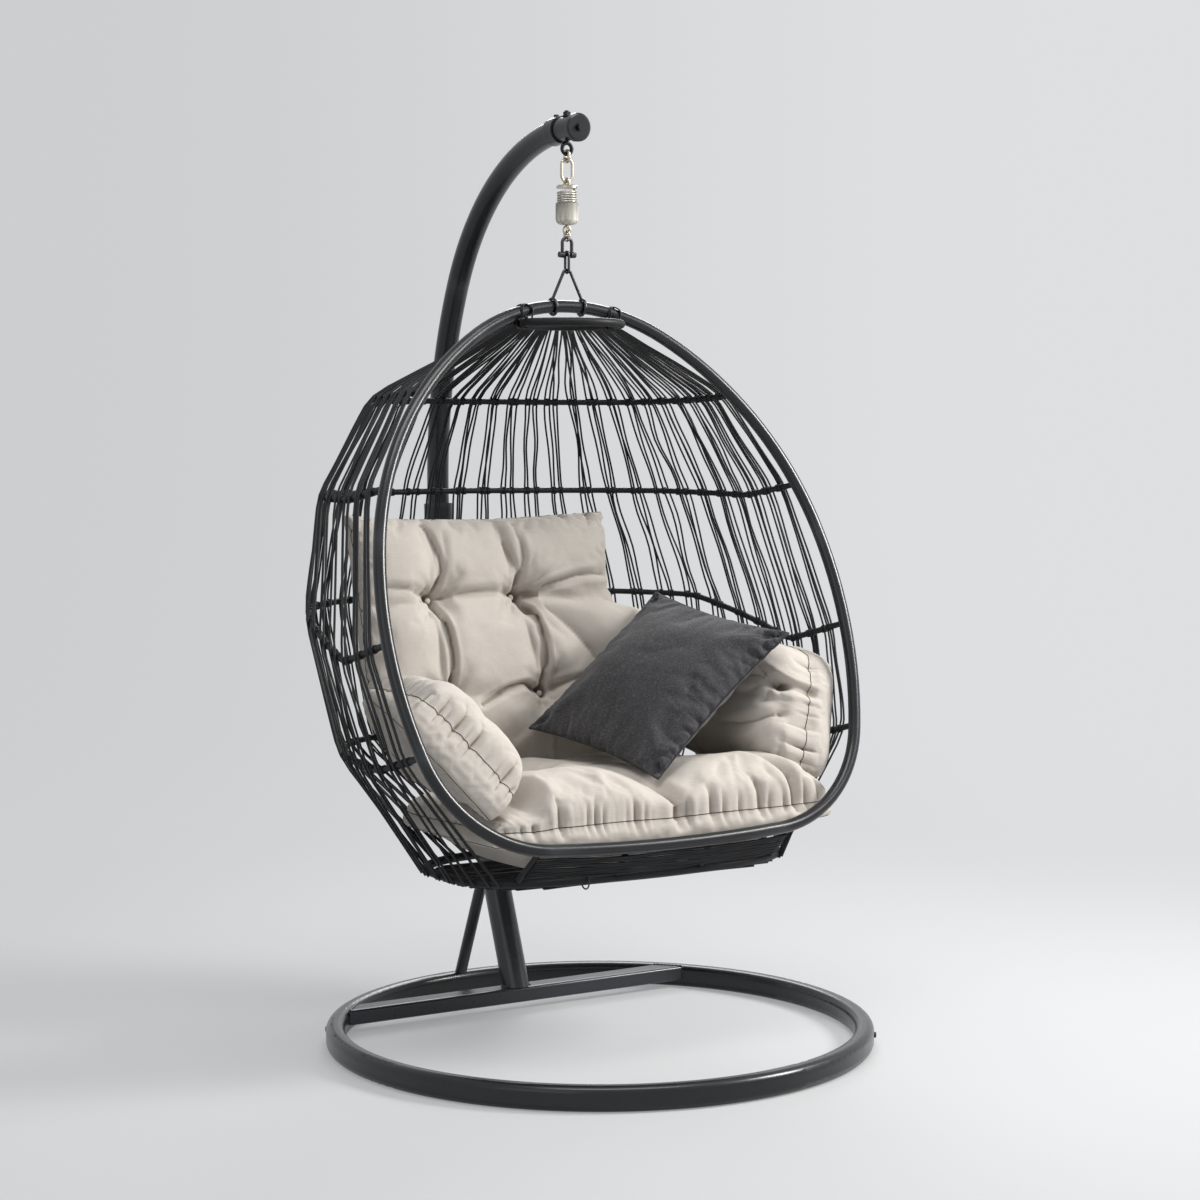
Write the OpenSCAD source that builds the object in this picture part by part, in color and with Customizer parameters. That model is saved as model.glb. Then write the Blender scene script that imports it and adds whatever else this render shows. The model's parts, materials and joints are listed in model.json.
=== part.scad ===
// Hanging egg chair: a ring-based stand with a curved arm, a chain with a
// sleeved spring, and a basket of strung wicker with tufted cushions.
// The chair faces -Y. The origin is the centre of the base ring on the floor.

/* [Base ring] */
// Radius of the ring's centreline
ring_r = 531; // [500:1:560]
// Width of the ring tube
ring_w = 38; // [34:1:42]
// Height of the ring tube
ring_h = 48; // [44:1:52]
// Corner radius of the ring tube
ring_corner = 15; // [10:1:16]
// Wall of every tube of the stand
wall = 2; // [1.5:0.5:3]
// Direction of the joint between the half rings, from +X
ring_split = -34.5; // [-45:0.5:-30]

/* [Crossbar] */
// Distance of the crossbar behind the ring's centre
bar_y = 335; // [330:1:340]
// Depth of the crossbar
bar_w = 50; // [44:1:54]
// Height of the crossbar
bar_h = 32; // [28:1:40]

/* [Post and arm] */
// Outer diameter of the lower post
post_d = 58; // [56:1:60]
// Backward lean of the lower post
post_lean = 21.3; // [20.5:0.1:22]
// Length of the post's straight part
post_straight = 735; // [720:1:745]
// Bend radius of the post's upper part
post_bend_r = 1085; // [1060:1:1100]
// Heading at which the lower post ends
post_end = 3.3; // [3:0.1:4]
// Outer diameter of the arm
arm_d = 48; // [46:1:49]
// Bend radius of the arm's lower part
arm_low_r = 964; // [950:1:975]
// Turn of the arm's lower part
arm_low_turn = 26; // [25:0.5:27]
// Bend radius of the arm's upper part
arm_top_r = 509; // [500:1:515]
// Turn of the arm's upper part
arm_top_turn = 68; // [66:0.5:69]
// Diameter of the brace behind the post
brace_d = 25; // [22:1:28]

/* [Chain and spring] */
// Diameter of the spring's coils over the wire
coil_d = 41; // [38:0.5:42]
// Wire of the spring
coil_wire = 4; // [3:0.1:4]
// Turns of the spring
coil_turns = 11; // [9:1:12]
// Outer diameter of the spring's sleeve
sleeve_d = 46; // [46:0.5:48]
// Gap where two links touch
link_gap = 0.4; // [0.3:0.1:0.6]

/* [Basket] */
// Height of the hoop's top above the floor
hoop_top = 1479; // [1470:1:1485]
// Backward lean of the hoop's plane
hoop_tilt = 20; // [19:0.5:21]
// Diameter of the hoop's tube
hoop_d = 25; // [22:1:26]
// Wall of the hoop's tube
hoop_wall = 3; // [2:0.5:4]
// Diameter of the wrapped rods
rod_d = 13; // [11:0.5:13]
// Squareness of the basket seen from above
basket_square = 3.4; // [3:0.1:3.6]
// Radius of the wrapped top ring
top_ring_r = 104; // [95:1:106]
// Thickness of the wrap on the top ring
top_ring_d = 18; // [14:1:18]
// Thickness of the bottom ring
bottom_ring_d = 18; // [16:1:20]
// Thickness of a wicker strand
strand_d = 4.4; // [3:0.2:5]
// Strands of each side panel
side_strands = 20; // [12:1:22]
// Strands of the back panel
back_strands = 20; // [12:1:22]

/* [Cushions] */
// Half width of the seat cushion
seat_w = 385; // [376:1:388]
// Half depth of the seat cushion
seat_l = 256; // [250:1:258]
// Crown of the seat cushion
seat_crown = 72; // [50:1:74]
// Crown of the back cushion
back_crown = 74; // [50:1:78]
// Depth of the sewn tufts
tuft_depth = 46; // [20:1:50]
// Length of the throw pillow
pillow_l = 420; // [380:1:425]
// Width of the throw pillow
pillow_w = 416; // [380:1:420]
// Crown of each side of the throw pillow
pillow_crown = 62; // [40:1:66]

/* [Hidden] */
$fn = 64;

steel = "#2b2d31";
bright = "#9b9184";
cream = "#d8d2c6";
wicker = "#1d1e20";
beige = "#c9c1b4";
charcoal = "#3f3d40";

// ---- paths of the post and the arm, in the plane x = 0 ----
// A heading is measured from +Z towards +Y; points are [y, z].
function ahead(h) = [sin(h), cos(h)];
function outward(h) = [cos(h), -sin(h)];

post_foot = [bar_y + 5, ring_h];
post_knee = post_foot + post_straight * ahead(post_lean);
post_c = post_knee - post_bend_r * outward(post_lean);
arm_low_c = post_c + (post_bend_r - arm_low_r) * outward(0);
arm_mid = arm_low_c + arm_low_r * outward(-arm_low_turn);
arm_top_c = arm_mid - arm_top_r * outward(-arm_low_turn);
arm_end_h = -arm_low_turn - arm_top_turn;
arm_end = arm_top_c + arm_top_r * outward(arm_end_h);

// ---- heights along the vertical line that the basket hangs on ----
hang_y = arm_top_c.x;
arm_axis_z = arm_top_c.y + arm_top_r;
link_r = 3;
eye_r = 4;
eye_bend = 11;
eye_z = arm_axis_z - arm_d / 2 - eye_bend - eye_r - 0.9;
eye_bar = eye_z - eye_bend;
top_link_bend = 8;
top_link_top = eye_bar + eye_r + link_r + link_gap;
top_link_bar = top_link_top - 22.9;
ring_link_bend = 12.5;
ring_link_top = top_link_bar + 2 * link_r + link_gap;
ring_link_bar = ring_link_top - 45.9;
cap_loop_bend = 8;
cap_loop_top = ring_link_bar + 2 * link_r + link_gap;
cap_top = cap_loop_top - 13.9;
cap_h = 6;
coil_top = cap_top - cap_h;
sleeve_top = coil_top - 30;
sleeve_bottom = coil_top - 73;
sleeve_wall = 1.8;
sleeve_floor = 5;
coil_bottom = sleeve_bottom + sleeve_floor;
swivel_r = 3.04;
swivel_bend = 7;
swivel_z = sleeve_bottom - 11;
swivel_bar = swivel_z - swivel_bend;
small_ring_wire = 2.5;
small_ring_bend = 10;
small_ring_z = swivel_bar + link_r + small_ring_wire + link_gap - small_ring_bend;
small_ring_bar = small_ring_z - small_ring_bend;
bow_wire = 3.5;
bow_bend = 11;
bow_z = small_ring_bar + small_ring_wire + bow_wire + link_gap - bow_bend;
pin_z = bow_z - 23.3;
pin_r = 3.4;
chain_wire = 2.75;
chain_bend = 7;
chain_top = pin_z + pin_r + chain_wire + link_gap;
chain_bar = chain_top - 42.7;
bail_wire = 3;
bail_bend = 9;
bail_apex = chain_bar + chain_wire + bail_wire + link_gap;

// ---- the hoop: half an egg of five arcs, as [radius, turn] from the top ----
hoop_arcs = [[405, 33], [670, 45], [890, 27.5], [262, 70.5]];
hoop_turns = [0, 33, 78, 105.5, 176];
function hoop_centre(i) =
    i == 0 ? [0, -hoop_arcs[0][0]]
    : hoop_centre(i - 1)
        + (hoop_arcs[i - 1][0] - hoop_arcs[i][0]) * [sin(hoop_turns[i]), cos(hoop_turns[i])];
hoop_low = hoop_centre(3) + hoop_arcs[3][0] * [sin(hoop_turns[4]), cos(hoop_turns[4])];
hoop_floor_r = hoop_low.x / sin(180 - hoop_turns[4]);
hoop_floor_c = [0, hoop_low.y + hoop_floor_r * cos(180 - hoop_turns[4])];
hoop_bottom = hoop_floor_c.y - hoop_floor_r;

// Half width of the hoop at the distance v below its top, v negative
function hoop_arc_at(v, i = 0) =
    i == 3 || v > (hoop_centre(i) + hoop_arcs[i][0] * [0, cos(hoop_turns[i + 1])]).y
    ? i : hoop_arc_at(v, i + 1);
function hoop_half(v) =
    let (i = hoop_arc_at(v), c = hoop_centre(i))
    c.x + sqrt(pow(hoop_arcs[i][0], 2) - pow(v - c.y, 2));
function on_hoop(x, v) = [x, hang_y + v * sin(hoop_tilt), hoop_top + v * cos(hoop_tilt)];

// ---- the four rods, as heights [at the hoop, side, corner, back] and back y ----
rod_heights = [
    [1303, 1296, 1292, 1292], [1118, 1092, 1098, 1100],
    [832, 785, 868, 884], [628, 582, 590, 600]
];
rod_backs = [462, 522, 524, 434];
rod_stop = [0, 0.22, 0.5, 1];

function rod_v(k) = (rod_heights[k][0] - hoop_top) / cos(hoop_tilt);
function rod_half(k) = hoop_half(rod_v(k));
function rod_front(k) = hang_y + rod_v(k) * sin(hoop_tilt);
function squircle(a, b, n, p) =
    1 / pow(pow(abs(cos(p)) / a, n) + pow(abs(sin(p)) / b, n), 1 / n);
function rod_z(k, p) =
    lookup(1 - abs(p - 90) / 90, [for (i = [0:3]) [rod_stop[i], rod_heights[k][i]]]);
// Point on rod k in the direction p, pushed outwards by out
function rod_point(k, p, out = 0) =
    let (r = squircle(rod_half(k), rod_backs[k] - rod_front(k), basket_square, p) + out)
    [r * cos(p), rod_front(k) + r * sin(p), rod_z(k, p)];

top_ring_y = hang_y - 10;
top_ring_z = hoop_top - 36;
bottom_a = 370;
bottom_b = 190;
bottom_y = -20;
bottom_z = 372;
function bottom_point(p, out = 0) =
    let (r = squircle(bottom_a, bottom_b, 3, p) + out)
    [r * cos(p), bottom_y + r * sin(p), bottom_z];
// y of the bottom ring's front edge at x
function bottom_front(x) = bottom_y - bottom_b * pow(1 - pow(abs(x) / bottom_a, 3), 1 / 3);

// ---- strands: one direction p is followed from the top ring to the bottom ring ----
// At each level the strand lies off the ring or rod by strand_off, tilted up by strand_tilt.
strand_first = 5.5;
side_end = 60;
strand_tilt = [64, 43, 13, -5, -22, -32];
strand_clear = [0.6, 1.6, 1.4, 1.2, 1.4, 0.8];
function strand_point(level, p) =
    let (
        core = level == 0 ? top_ring_d : level == 5 ? bottom_ring_d : rod_d,
        off = core / 2 + strand_d / 2 + strand_clear[level],
        q = level == 0 ? 90 + (p - 90) * 75 / 85 : level == 5 ? 90 + (p - 90) * 115 / 85 : p,
        base = level == 0 ? [top_ring_r * cos(q), top_ring_y + top_ring_r * sin(q), top_ring_z]
            : level == 5 ? bottom_point(q) : rod_point(level - 1, p),
        tilt = strand_tilt[level]
    )
    base + off * [cos(tilt) * cos(q), cos(tilt) * sin(q), sin(tilt)];

// ---- general shapes ----
function unit(v) = v / norm(v);

// A straight round bar from a to b
module bar(a, b, r, sides = 32) {
    d = b - a;
    translate(a)
        rotate([0, acos(d.z / norm(d)), atan2(d.y, d.x)])
            cylinder(h = norm(d), r = r, $fn = sides);
}

// A tube swept along points; up is the reference direction at each point
module sweep(path, up, r, sides, closed = false) {
    n = len(path);
    last = n - 1;
    function tangent(i) =
        closed ? unit(path[(i + 1) % n] - path[(i + last) % n])
        : unit(path[min(i + 1, last)] - path[max(i - 1, 0)]);
    points = [
        for (i = [0:last])
            let (t = tangent(i), s = unit(cross(up[i], t)), w = cross(t, s))
            for (j = [0:sides - 1])
                path[i] + r * (cos(360 * j / sides) * s + sin(360 * j / sides) * w)
    ];
    side_faces = [
        for (i = [0:closed ? last : last - 1], j = [0:sides - 1])
            let (
                a = i * sides + j,
                b = i * sides + (j + 1) % sides,
                c = ((i + 1) % n) * sides + (j + 1) % sides,
                d = ((i + 1) % n) * sides + j
            )
            each [[a, d, c], [a, c, b]]
    ];
    end_faces = closed ? [] : [
        [for (j = [0:sides - 1]) j],
        [for (j = [sides - 1:-1:0]) last * sides + j]
    ];
    polyhedron(points, concat(side_faces, end_faces), convexity = 6);
}

// A closed soft shape: place(u, v, side) gives its points, u and v from -1 to 1
module soft_shape(nu, nv, place) {
    m = nv + 1;
    count = (nu + 1) * m;
    points = [
        for (side = [1, -1], i = [0:nu], j = [0:nv])
            place(sin(180 * i / nu - 90), sin(180 * j / nv - 90), side)
    ];
    function quad(a, b, c, d) = [[a, b, c], [a, c, d]];
    faces = [
        for (i = [0:nu - 1], j = [0:nv - 1])
            let (a = i * m + j, b = a + 1, c = a + m + 1, d = a + m)
            each concat(quad(a, b, c, d), quad(count + d, count + c, count + b, count + a)),
        for (i = [0:nu - 1])
            let (a = i * m, b = a + m, c = a + nv, d = b + nv)
            each concat(quad(count + a, a, b, count + b), quad(count + d, d, c, count + c)),
        for (j = [0:nv - 1])
            let (a = j, b = j + 1, c = nu * m + j, d = c + 1)
            each concat(quad(count + b, b, a, count + a), quad(count + c, c, d, count + d))
    ];
    polyhedron(points, faces, convexity = 8);
}

// Fullness of a cushion: 1 in the middle, 0 at the sewn edge
function fullness(u, v) = pow((1 - pow(u, 4)) * (1 - pow(v, 4)), 0.42);
// A dimple at distance d with the given width, 1 at its centre
function dimple(d, width) = exp(-pow(d / width, 2));

// Hairline seam in degrees, where a bent length of tube meets the next one end to end
tube_seam = 0.01;
// A bent round tube in the plane x = 0, between two headings of one arc
module arc_tube(centre, r, from, to, outer_r, inner_r) {
    translate([0, centre.x, centre.y])
        rotate([90, 0, 90])
            rotate_extrude(angle = from - to, start = -from, $fn = 180)
                translate([r, 0])
                    difference() {
                        circle(r = outer_r, $fn = 64);
                        if (inner_r > 0)
                            circle(r = inner_r, $fn = 64);
                    }
}

// Children stand on the path point with +Z along the heading
module on_path(p, h) {
    translate([0, p.x, p.y])
        rotate([-h, 0, 0])
            children();
}

// A stadium link round the hang line, from the lower bar to the upper bar
module stadium(low, high, bend, wire) {
    half = (high - low) / 2 - bend;
    translate([0, hang_y, (low + high) / 2])
        for (side = [0, 180])
            rotate([0, side, 0]) {
                translate([0, 0, half])
                    rotate([90, 0, 0])
                        rotate_extrude(angle = 180, $fn = 48)
                            translate([bend, 0])
                                circle(r = wire, $fn = 32);
                translate([bend, 0, -half])
                    cylinder(h = 2 * half, r = wire, $fn = 32);
            }
}

// Turns a shape built in the XZ plane about the hang line into the YZ plane
module crosswise() {
    translate([0, hang_y, 0])
        rotate([0, 0, 90])
            translate([0, -hang_y, 0])
                children();
}

// ---- base ring ----
module rounded_section(w, h, corner) {
    square([w - 2 * corner, h], center = true);
    square([w, h - 2 * corner], center = true);
    for (x = [-1, 1], y = [-1, 1])
        translate([x * (w / 2 - corner), y * (h / 2 - corner)])
            circle(r = corner, $fn = 48);
}

module ring_arc(start, angle, inset, hollow) {
    rotate_extrude(start = start, angle = angle, $fn = 180)
        translate([ring_r, ring_h / 2])
            difference() {
                rounded_section(ring_w - 2 * inset, ring_h - 2 * inset, ring_corner - inset);
                if (hollow)
                    rounded_section(ring_w - 2 * wall, ring_h - 2 * wall, ring_corner - wall);
            }
}

seam = 0.1;
spigot_half = 4.5;
bolt_offset = 2.4;
bolt_z = 22;

module ring_bolt_holes() {
    for (a = [ring_split - bolt_offset, ring_split + 180 + bolt_offset])
        rotate([0, 0, a])
            translate([ring_r, 0, bolt_z])
                rotate([0, 90, 0])
                    cylinder(h = ring_w, r = 4.2);
}

module base_ring_front() {
    color(steel)
        difference() {
            ring_arc(ring_split + 180 + seam / 2, 180 - seam, 0, true);
            ring_bolt_holes();
        }
}

module base_ring_rear() {
    color(steel)
        ring_arc(ring_split + seam / 2, 180 - seam, 0, true);
}

module ring_spigots() {
    color(steel)
        difference() {
            for (a = [ring_split, ring_split + 180])
                ring_arc(a - spigot_half, 2 * spigot_half, wall + 0.25, false);
            ring_bolt_holes();
        }
}

module ring_bolts() {
    color(steel)
        for (a = [ring_split - bolt_offset, ring_split + 180 + bolt_offset])
            rotate([0, 0, a])
                translate([ring_r, 0, bolt_z])
                    rotate([0, 90, 0]) {
                        translate([0, 0, 4])
                            cylinder(h = ring_w / 2 - 3.6, r = 4);
                        translate([0, 0, ring_w / 2 + 0.3])
                            cylinder(h = 4, r1 = 6.5, r2 = 5);
                    }
}

// ---- stand ----
module crossbar() {
    color(steel)
        intersection() {
            translate([0, bar_y, ring_h - bar_h / 2])
                rotate([90, 0, 90])
                    linear_extrude(height = 2 * ring_r, center = true)
                        difference() {
                            rounded_section(bar_w, bar_h, 7);
                            rounded_section(bar_w - 2 * wall, bar_h - 2 * wall, 7 - wall);
                        }
            cylinder(h = 3 * ring_h, r = ring_r - ring_w / 2 - 0.2, $fn = 180);
        }
}

module post_outline(r, from = -40) {
    on_path(post_foot, post_lean)
        translate([0, 0, from])
            cylinder(h = post_straight - from, r = r, $fn = 64);
}

arm_bolt_h = 6.6;
module arm_bolt_axis() {
    on_path(post_c + (post_bend_r) * outward(arm_bolt_h), arm_bolt_h)
        rotate([-90, 0, 0])
            children();
}

module lower_post() {
    color(steel)
        difference() {
            union() {
                difference() {
                    post_outline(post_d / 2);
                    post_outline(post_d / 2 - wall, -60);
                    translate([-100, 200, -20])
                        cube([200, 300, ring_h + 20.1]);
                }
                arc_tube(post_c, post_bend_r, post_lean - tube_seam, post_end,
                    post_d / 2, post_d / 2 - wall);
            }
            arm_bolt_axis()
                cylinder(h = post_d, r = 4.2);
        }
}

brace_top = post_foot + 303 * ahead(post_lean);
brace_foot = [-34, ring_r + 4, 16];
module post_brace() {
    head = [0, brace_top.x, brace_top.y];
    color(steel)
        difference() {
            difference() {
                bar(brace_foot, head, brace_d / 2, 48);
                post_outline(post_d / 2 + 0.1);
                ring_arc(70, 50, -0.1, false);
            }
            bar(brace_foot - (head - brace_foot) * 0.1, head, brace_d / 2 - wall, 48);
        }
}

collar_low = 5.3;
module post_collar() {
    color(wicker)
        difference() {
            union() {
                arc_tube(post_c, post_bend_r, collar_low, post_end, 32, post_d / 2 + 0.2);
                arc_tube(post_c, post_bend_r, post_end, post_end - 0.25, 32, arm_d / 2 + 0.2);
                arc_tube(post_c, post_bend_r, 8.3, post_end,
                    post_d / 2 - wall - 0.2, arm_d / 2 + 0.2);
            }
            arm_bolt_axis()
                cylinder(h = post_d, r = 4.2);
        }
}

module arm_bolt() {
    color(steel)
        arm_bolt_axis() {
            translate([0, 0, arm_d / 2 - wall - 4])
                cylinder(h = post_d / 2 - arm_d / 2 + wall + 4.4, r = 4);
            translate([0, 0, post_d / 2 + 0.3])
                cylinder(h = 4.5, r1 = 7, r2 = 5.5);
        }
}

eye_shank = 5;
module upper_arm() {
    color(steel)
        difference() {
            union() {
                arc_tube(post_c, post_bend_r, 8.2, 0, arm_d / 2, arm_d / 2 - wall);
                arc_tube(arm_low_c, arm_low_r, 0, -arm_low_turn, arm_d / 2, arm_d / 2 - wall);
                arc_tube(arm_top_c, arm_top_r, -arm_low_turn, arm_end_h,
                    arm_d / 2, arm_d / 2 - wall);
            }
            arm_bolt_axis()
                cylinder(h = post_d, r = 4.2);
            translate([0, hang_y, arm_axis_z - arm_d])
                cylinder(h = 2 * arm_d, r = eye_shank + 0.2);
        }
}

band_from = -84.2;
band_to = -87.8;
band_r = arm_d / 2 + 4;
module arm_band() {
    color(steel)
        arc_tube(arm_top_c, arm_top_r, band_from, band_to, band_r, arm_d / 2 + 0.2);
}

module arm_band_bolt() {
    h = (band_from + band_to) / 2 + 0.4;
    color(steel)
        on_path(arm_top_c + (arm_top_r + band_r + 0.05) * outward(h), h)
            rotate([-90, 0, 0])
                cylinder(h = 5.5, r = 6, $fn = 6);
}

module arm_end_cap() {
    color(steel)
        on_path(arm_end, arm_end_h) {
            translate([0, 0, -16])
                cylinder(h = 17, r = arm_d / 2 - wall - 0.5);
            translate([0, 0, 0.2])
                cylinder(h = 9, r = 28.5);
            translate([0, 0, 9.2])
                cylinder(h = 3, r1 = 28.5, r2 = 24);
        }
}

module end_cap_bolt() {
    color(steel)
        on_path(arm_end, arm_end_h)
            translate([0, 0, 12.4]) {
                cylinder(h = 1.5, r = 8.5);
                translate([0, 0, 1.5])
                    cylinder(h = 5, r = 6.5, $fn = 6);
            }
}

// ---- chain and spring ----
module hanger_eye() {
    color(steel)
        translate([0, hang_y, 0]) {
            translate([0, 0, eye_z])
                rotate([90, 0, 0])
                    rotate_extrude($fn = 64)
                        translate([eye_bend, 0])
                            circle(r = eye_r, $fn = 32);
            translate([0, 0, eye_z + eye_bend])
                cylinder(h = arm_axis_z + arm_d / 2 + 12 - eye_z - eye_bend, r = eye_shank - 0.2);
        }
}

module hanger_nut() {
    color(steel)
        translate([0, hang_y, arm_axis_z + arm_d / 2 + 0.1])
            difference() {
                union() {
                    cylinder(h = 1.8, r = 10);
                    cylinder(h = 9, r = 8.5, $fn = 6);
                }
                translate([0, 0, -1])
                    cylinder(h = 12, r = eye_shank - 0.15);
            }
}

module top_link() {
    color(bright)
        crosswise()
            stadium(top_link_bar, top_link_top, top_link_bend, link_r);
}

module ring_link() {
    color(bright)
        stadium(ring_link_bar, ring_link_top, ring_link_bend, link_r);
}

module spring_top_cap() {
    color(bright)
        union() {
            translate([0, hang_y, cap_top - cap_h]) {
                cylinder(h = cap_h - 2, r = coil_d / 2 + 1);
                translate([0, 0, cap_h - 2])
                    cylinder(h = 2, r1 = coil_d / 2 + 1, r2 = coil_d / 2 - 1);
            }
            crosswise() {
                translate([0, hang_y, cap_loop_top - cap_loop_bend])
                    rotate([90, 0, 0])
                        rotate_extrude(angle = 180, $fn = 48)
                            translate([cap_loop_bend, 0])
                                circle(r = link_r, $fn = 32);
                for (side = [-1, 1])
                    translate([side * cap_loop_bend, hang_y, cap_top - 3])
                        cylinder(h = cap_loop_top - cap_loop_bend - cap_top + 3, r = link_r,
                            $fn = 32);
            }
        }
}

// The spring's centreline: straight ends of one wire diameter, and the turns between
coil_r = (coil_d - coil_wire) / 2;
coil_rings = 8;
coil_low = coil_bottom + coil_wire + 4.4;
coil_high = coil_top - coil_wire - 2.4;
function coil_point(i) =
    let (a = 360 * i / coil_rings, f = i / (coil_turns * coil_rings))
    [coil_r * cos(a), hang_y + coil_r * sin(a), coil_low + (coil_high - coil_low) * f];
coil_turning = [for (i = [0:coil_turns * coil_rings]) coil_point(i)];
coil_last = coil_turning[len(coil_turning) - 1];
coil_path = concat(
    [[coil_r, hang_y - 2.4, coil_bottom + 3.2], [coil_r, hang_y - 2.4, coil_low - 1.4]],
    coil_turning,
    [coil_last + [0, 2.4, 1.4], coil_last + [0, 2.4, coil_top - coil_high - 0.4]]
);
coil_gap = min([
    for (i = [0:len(coil_turning) - 1], j = [i + coil_rings / 2:len(coil_turning) - 1])
        norm(coil_turning[i] - coil_turning[j])
]) - coil_wire;
echo(least_gap_of_the_spring_mm = coil_gap);

module coil_spring() {
    color(bright)
        sweep(coil_path, [for (p = coil_path) unit([p.x, p.y - hang_y, 0])], coil_wire / 2, 6);
}

module spring_sleeve() {
    outer = sleeve_d / 2;
    inner = outer - sleeve_wall;
    round_r = 12;
    color(cream)
        translate([0, hang_y, sleeve_bottom])
            rotate_extrude($fn = 96)
                difference() {
                    union() {
                        translate([0, round_r])
                            square([outer, sleeve_top - sleeve_bottom - round_r]);
                        square([outer - round_r, round_r]);
                        translate([outer - round_r, round_r])
                            circle(r = round_r, $fn = 64);
                    }
                    translate([0, sleeve_floor + 3])
                        square([inner, sleeve_top - sleeve_bottom]);
                    translate([0, sleeve_floor])
                        square([inner - 3, round_r]);
                    translate([inner - 3, sleeve_floor + 3])
                        circle(r = 3, $fn = 48);
                    square([swivel_r + 0.06, 3 * sleeve_floor]);
                    translate([-outer, 0])
                        square([outer, 3 * outer]);
                }
}

module swivel_eye() {
    color(bright)
        translate([0, hang_y, 0]) {
            translate([0, 0, sleeve_bottom + sleeve_floor + 0.3])
                cylinder(h = 3, r = 7);
            translate([0, 0, swivel_z + swivel_bend])
                cylinder(h = sleeve_bottom + sleeve_floor + 1 - swivel_z - swivel_bend,
                    r = swivel_r, $fn = 48);
            translate([0, 0, swivel_z])
                rotate([90, 0, 0])
                    rotate_extrude($fn = 48)
                        translate([swivel_bend, 0])
                            circle(r = link_r, $fn = 32);
        }
}

module small_ring() {
    color(bright)
        translate([0, hang_y, small_ring_z])
            rotate([0, 90, 0])
                rotate_extrude($fn = 48)
                    translate([small_ring_bend, 0])
                        circle(r = small_ring_wire, $fn = 32);
}

module shackle() {
    color(steel)
        difference() {
            translate([0, hang_y, 0]) {
                translate([0, 0, bow_z])
                    rotate([90, 0, 0])
                        rotate_extrude(angle = 180, $fn = 48)
                            translate([bow_bend, 0])
                                circle(r = bow_wire, $fn = 32);
                for (x = [-1, 1])
                    translate([x * bow_bend, 0, 0]) {
                        translate([0, 0, pin_z])
                            cylinder(h = bow_z - pin_z, r = bow_wire, $fn = 32);
                        translate([-3, 0, pin_z])
                            rotate([0, 90, 0])
                                cylinder(h = 6, r = 6.5, $fn = 48);
                    }
            }
            translate([-30, hang_y, pin_z])
                rotate([0, 90, 0])
                    cylinder(h = 60, r = pin_r + 0.1, $fn = 48);
        }
}

module shackle_pin() {
    color(steel)
        translate([-15, hang_y, pin_z])
            rotate([0, 90, 0]) {
                cylinder(h = 32, r = pin_r, $fn = 48);
                translate([0, 0, -3.5])
                    cylinder(h = 4.2, r = 6);
                translate([0, 0, 29.6])
                    cylinder(h = 5, r = 6, $fn = 6);
            }
}

module chain_link() {
    color(steel)
        crosswise()
            stadium(chain_bar, chain_top, chain_bend, chain_wire);
}

// ---- basket frame ----
module in_hoop_plane() {
    translate([0, hang_y, hoop_top])
        rotate([90 - hoop_tilt, 0, 0])
            children();
}

module hoop_arc(centre, r, from, to) {
    translate([centre.x, centre.y])
        rotate_extrude(start = 90 - to, angle = to - from, $fn = 180)
            translate([r, 0])
                difference() {
                    circle(r = hoop_d / 2, $fn = 48);
                    circle(r = hoop_d / 2 - hoop_wall, $fn = 48);
                }
}

// Arc i on both sides of the hoop
module hoop_pair(i, gap = 0) {
    for (side = [0, 180])
        rotate([0, side, 0])
            hoop_arc(hoop_centre(i), hoop_arcs[i][0], hoop_turns[i] + gap, hoop_turns[i + 1]);
}

// The hoop is two bent tubes that meet in a hairline seam on each side
module hoop() {
    color(steel)
        in_hoop_plane() {
            union() {
                hoop_arc(hoop_centre(0), hoop_arcs[0][0], -hoop_turns[1], hoop_turns[1]);
                hoop_pair(1);
            }
            union() {
                union() {
                    hoop_arc(hoop_floor_c, hoop_floor_r, hoop_turns[4], 360 - hoop_turns[4]);
                    hoop_pair(3);
                }
                hoop_pair(2, tube_seam);
            }
        }
}

bail_foot_x = 34;
bail_foot_wire = 3.2;
bail_ring = hoop_d / 2 + bail_foot_wire + 0.3;
foot_turn = asin(bail_foot_x / hoop_arcs[0][0]);
foot_drop = hoop_arcs[0][0] * (1 - cos(foot_turn));
module bail() {
    centre_z = bail_apex - bail_bend;
    foot = [bail_foot_x, hang_y - foot_drop * sin(hoop_tilt),
        hoop_top - foot_drop * cos(hoop_tilt) + bail_ring];
    across = centre_z - foot.z;
    lean = atan2(bail_foot_x, across) - asin(bail_bend / norm([bail_foot_x, across]));
    shoulder = [bail_bend * cos(lean), hang_y, centre_z + bail_bend * sin(lean)];
    leg_start = shoulder + unit(shoulder - foot);
    color(steel) {
        translate([0, hang_y, centre_z])
            rotate([90, 0, 0])
                rotate_extrude(start = lean, angle = 180 - 2 * lean, $fn = 48)
                    translate([bail_bend, 0])
                        circle(r = bail_wire, $fn = 32);
        for (side = [-1, 1]) {
            bar([side * leg_start.x, leg_start.y, leg_start.z],
                [side * foot.x, foot.y, foot.z], bail_wire + 0.15);
            in_hoop_plane()
                translate([side * bail_foot_x, -foot_drop, 0])
                    rotate([0, 0, -side * foot_turn])
                        rotate([0, 90, 0])
                            rotate_extrude($fn = 48)
                                translate([bail_ring, 0])
                                    circle(r = bail_foot_wire, $fn = 32);
        }
    }
}

module rod(k) {
    first = atan((hoop_d / 2 + 2) / rod_half(k));
    steps = 26;
    path = [for (i = [0:steps]) rod_point(k, first + (180 - 2 * first) * i / steps)];
    color(wicker)
        sweep(path, [for (p = path) [0, 0, 1]], rod_d / 2, 8);
}

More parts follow.
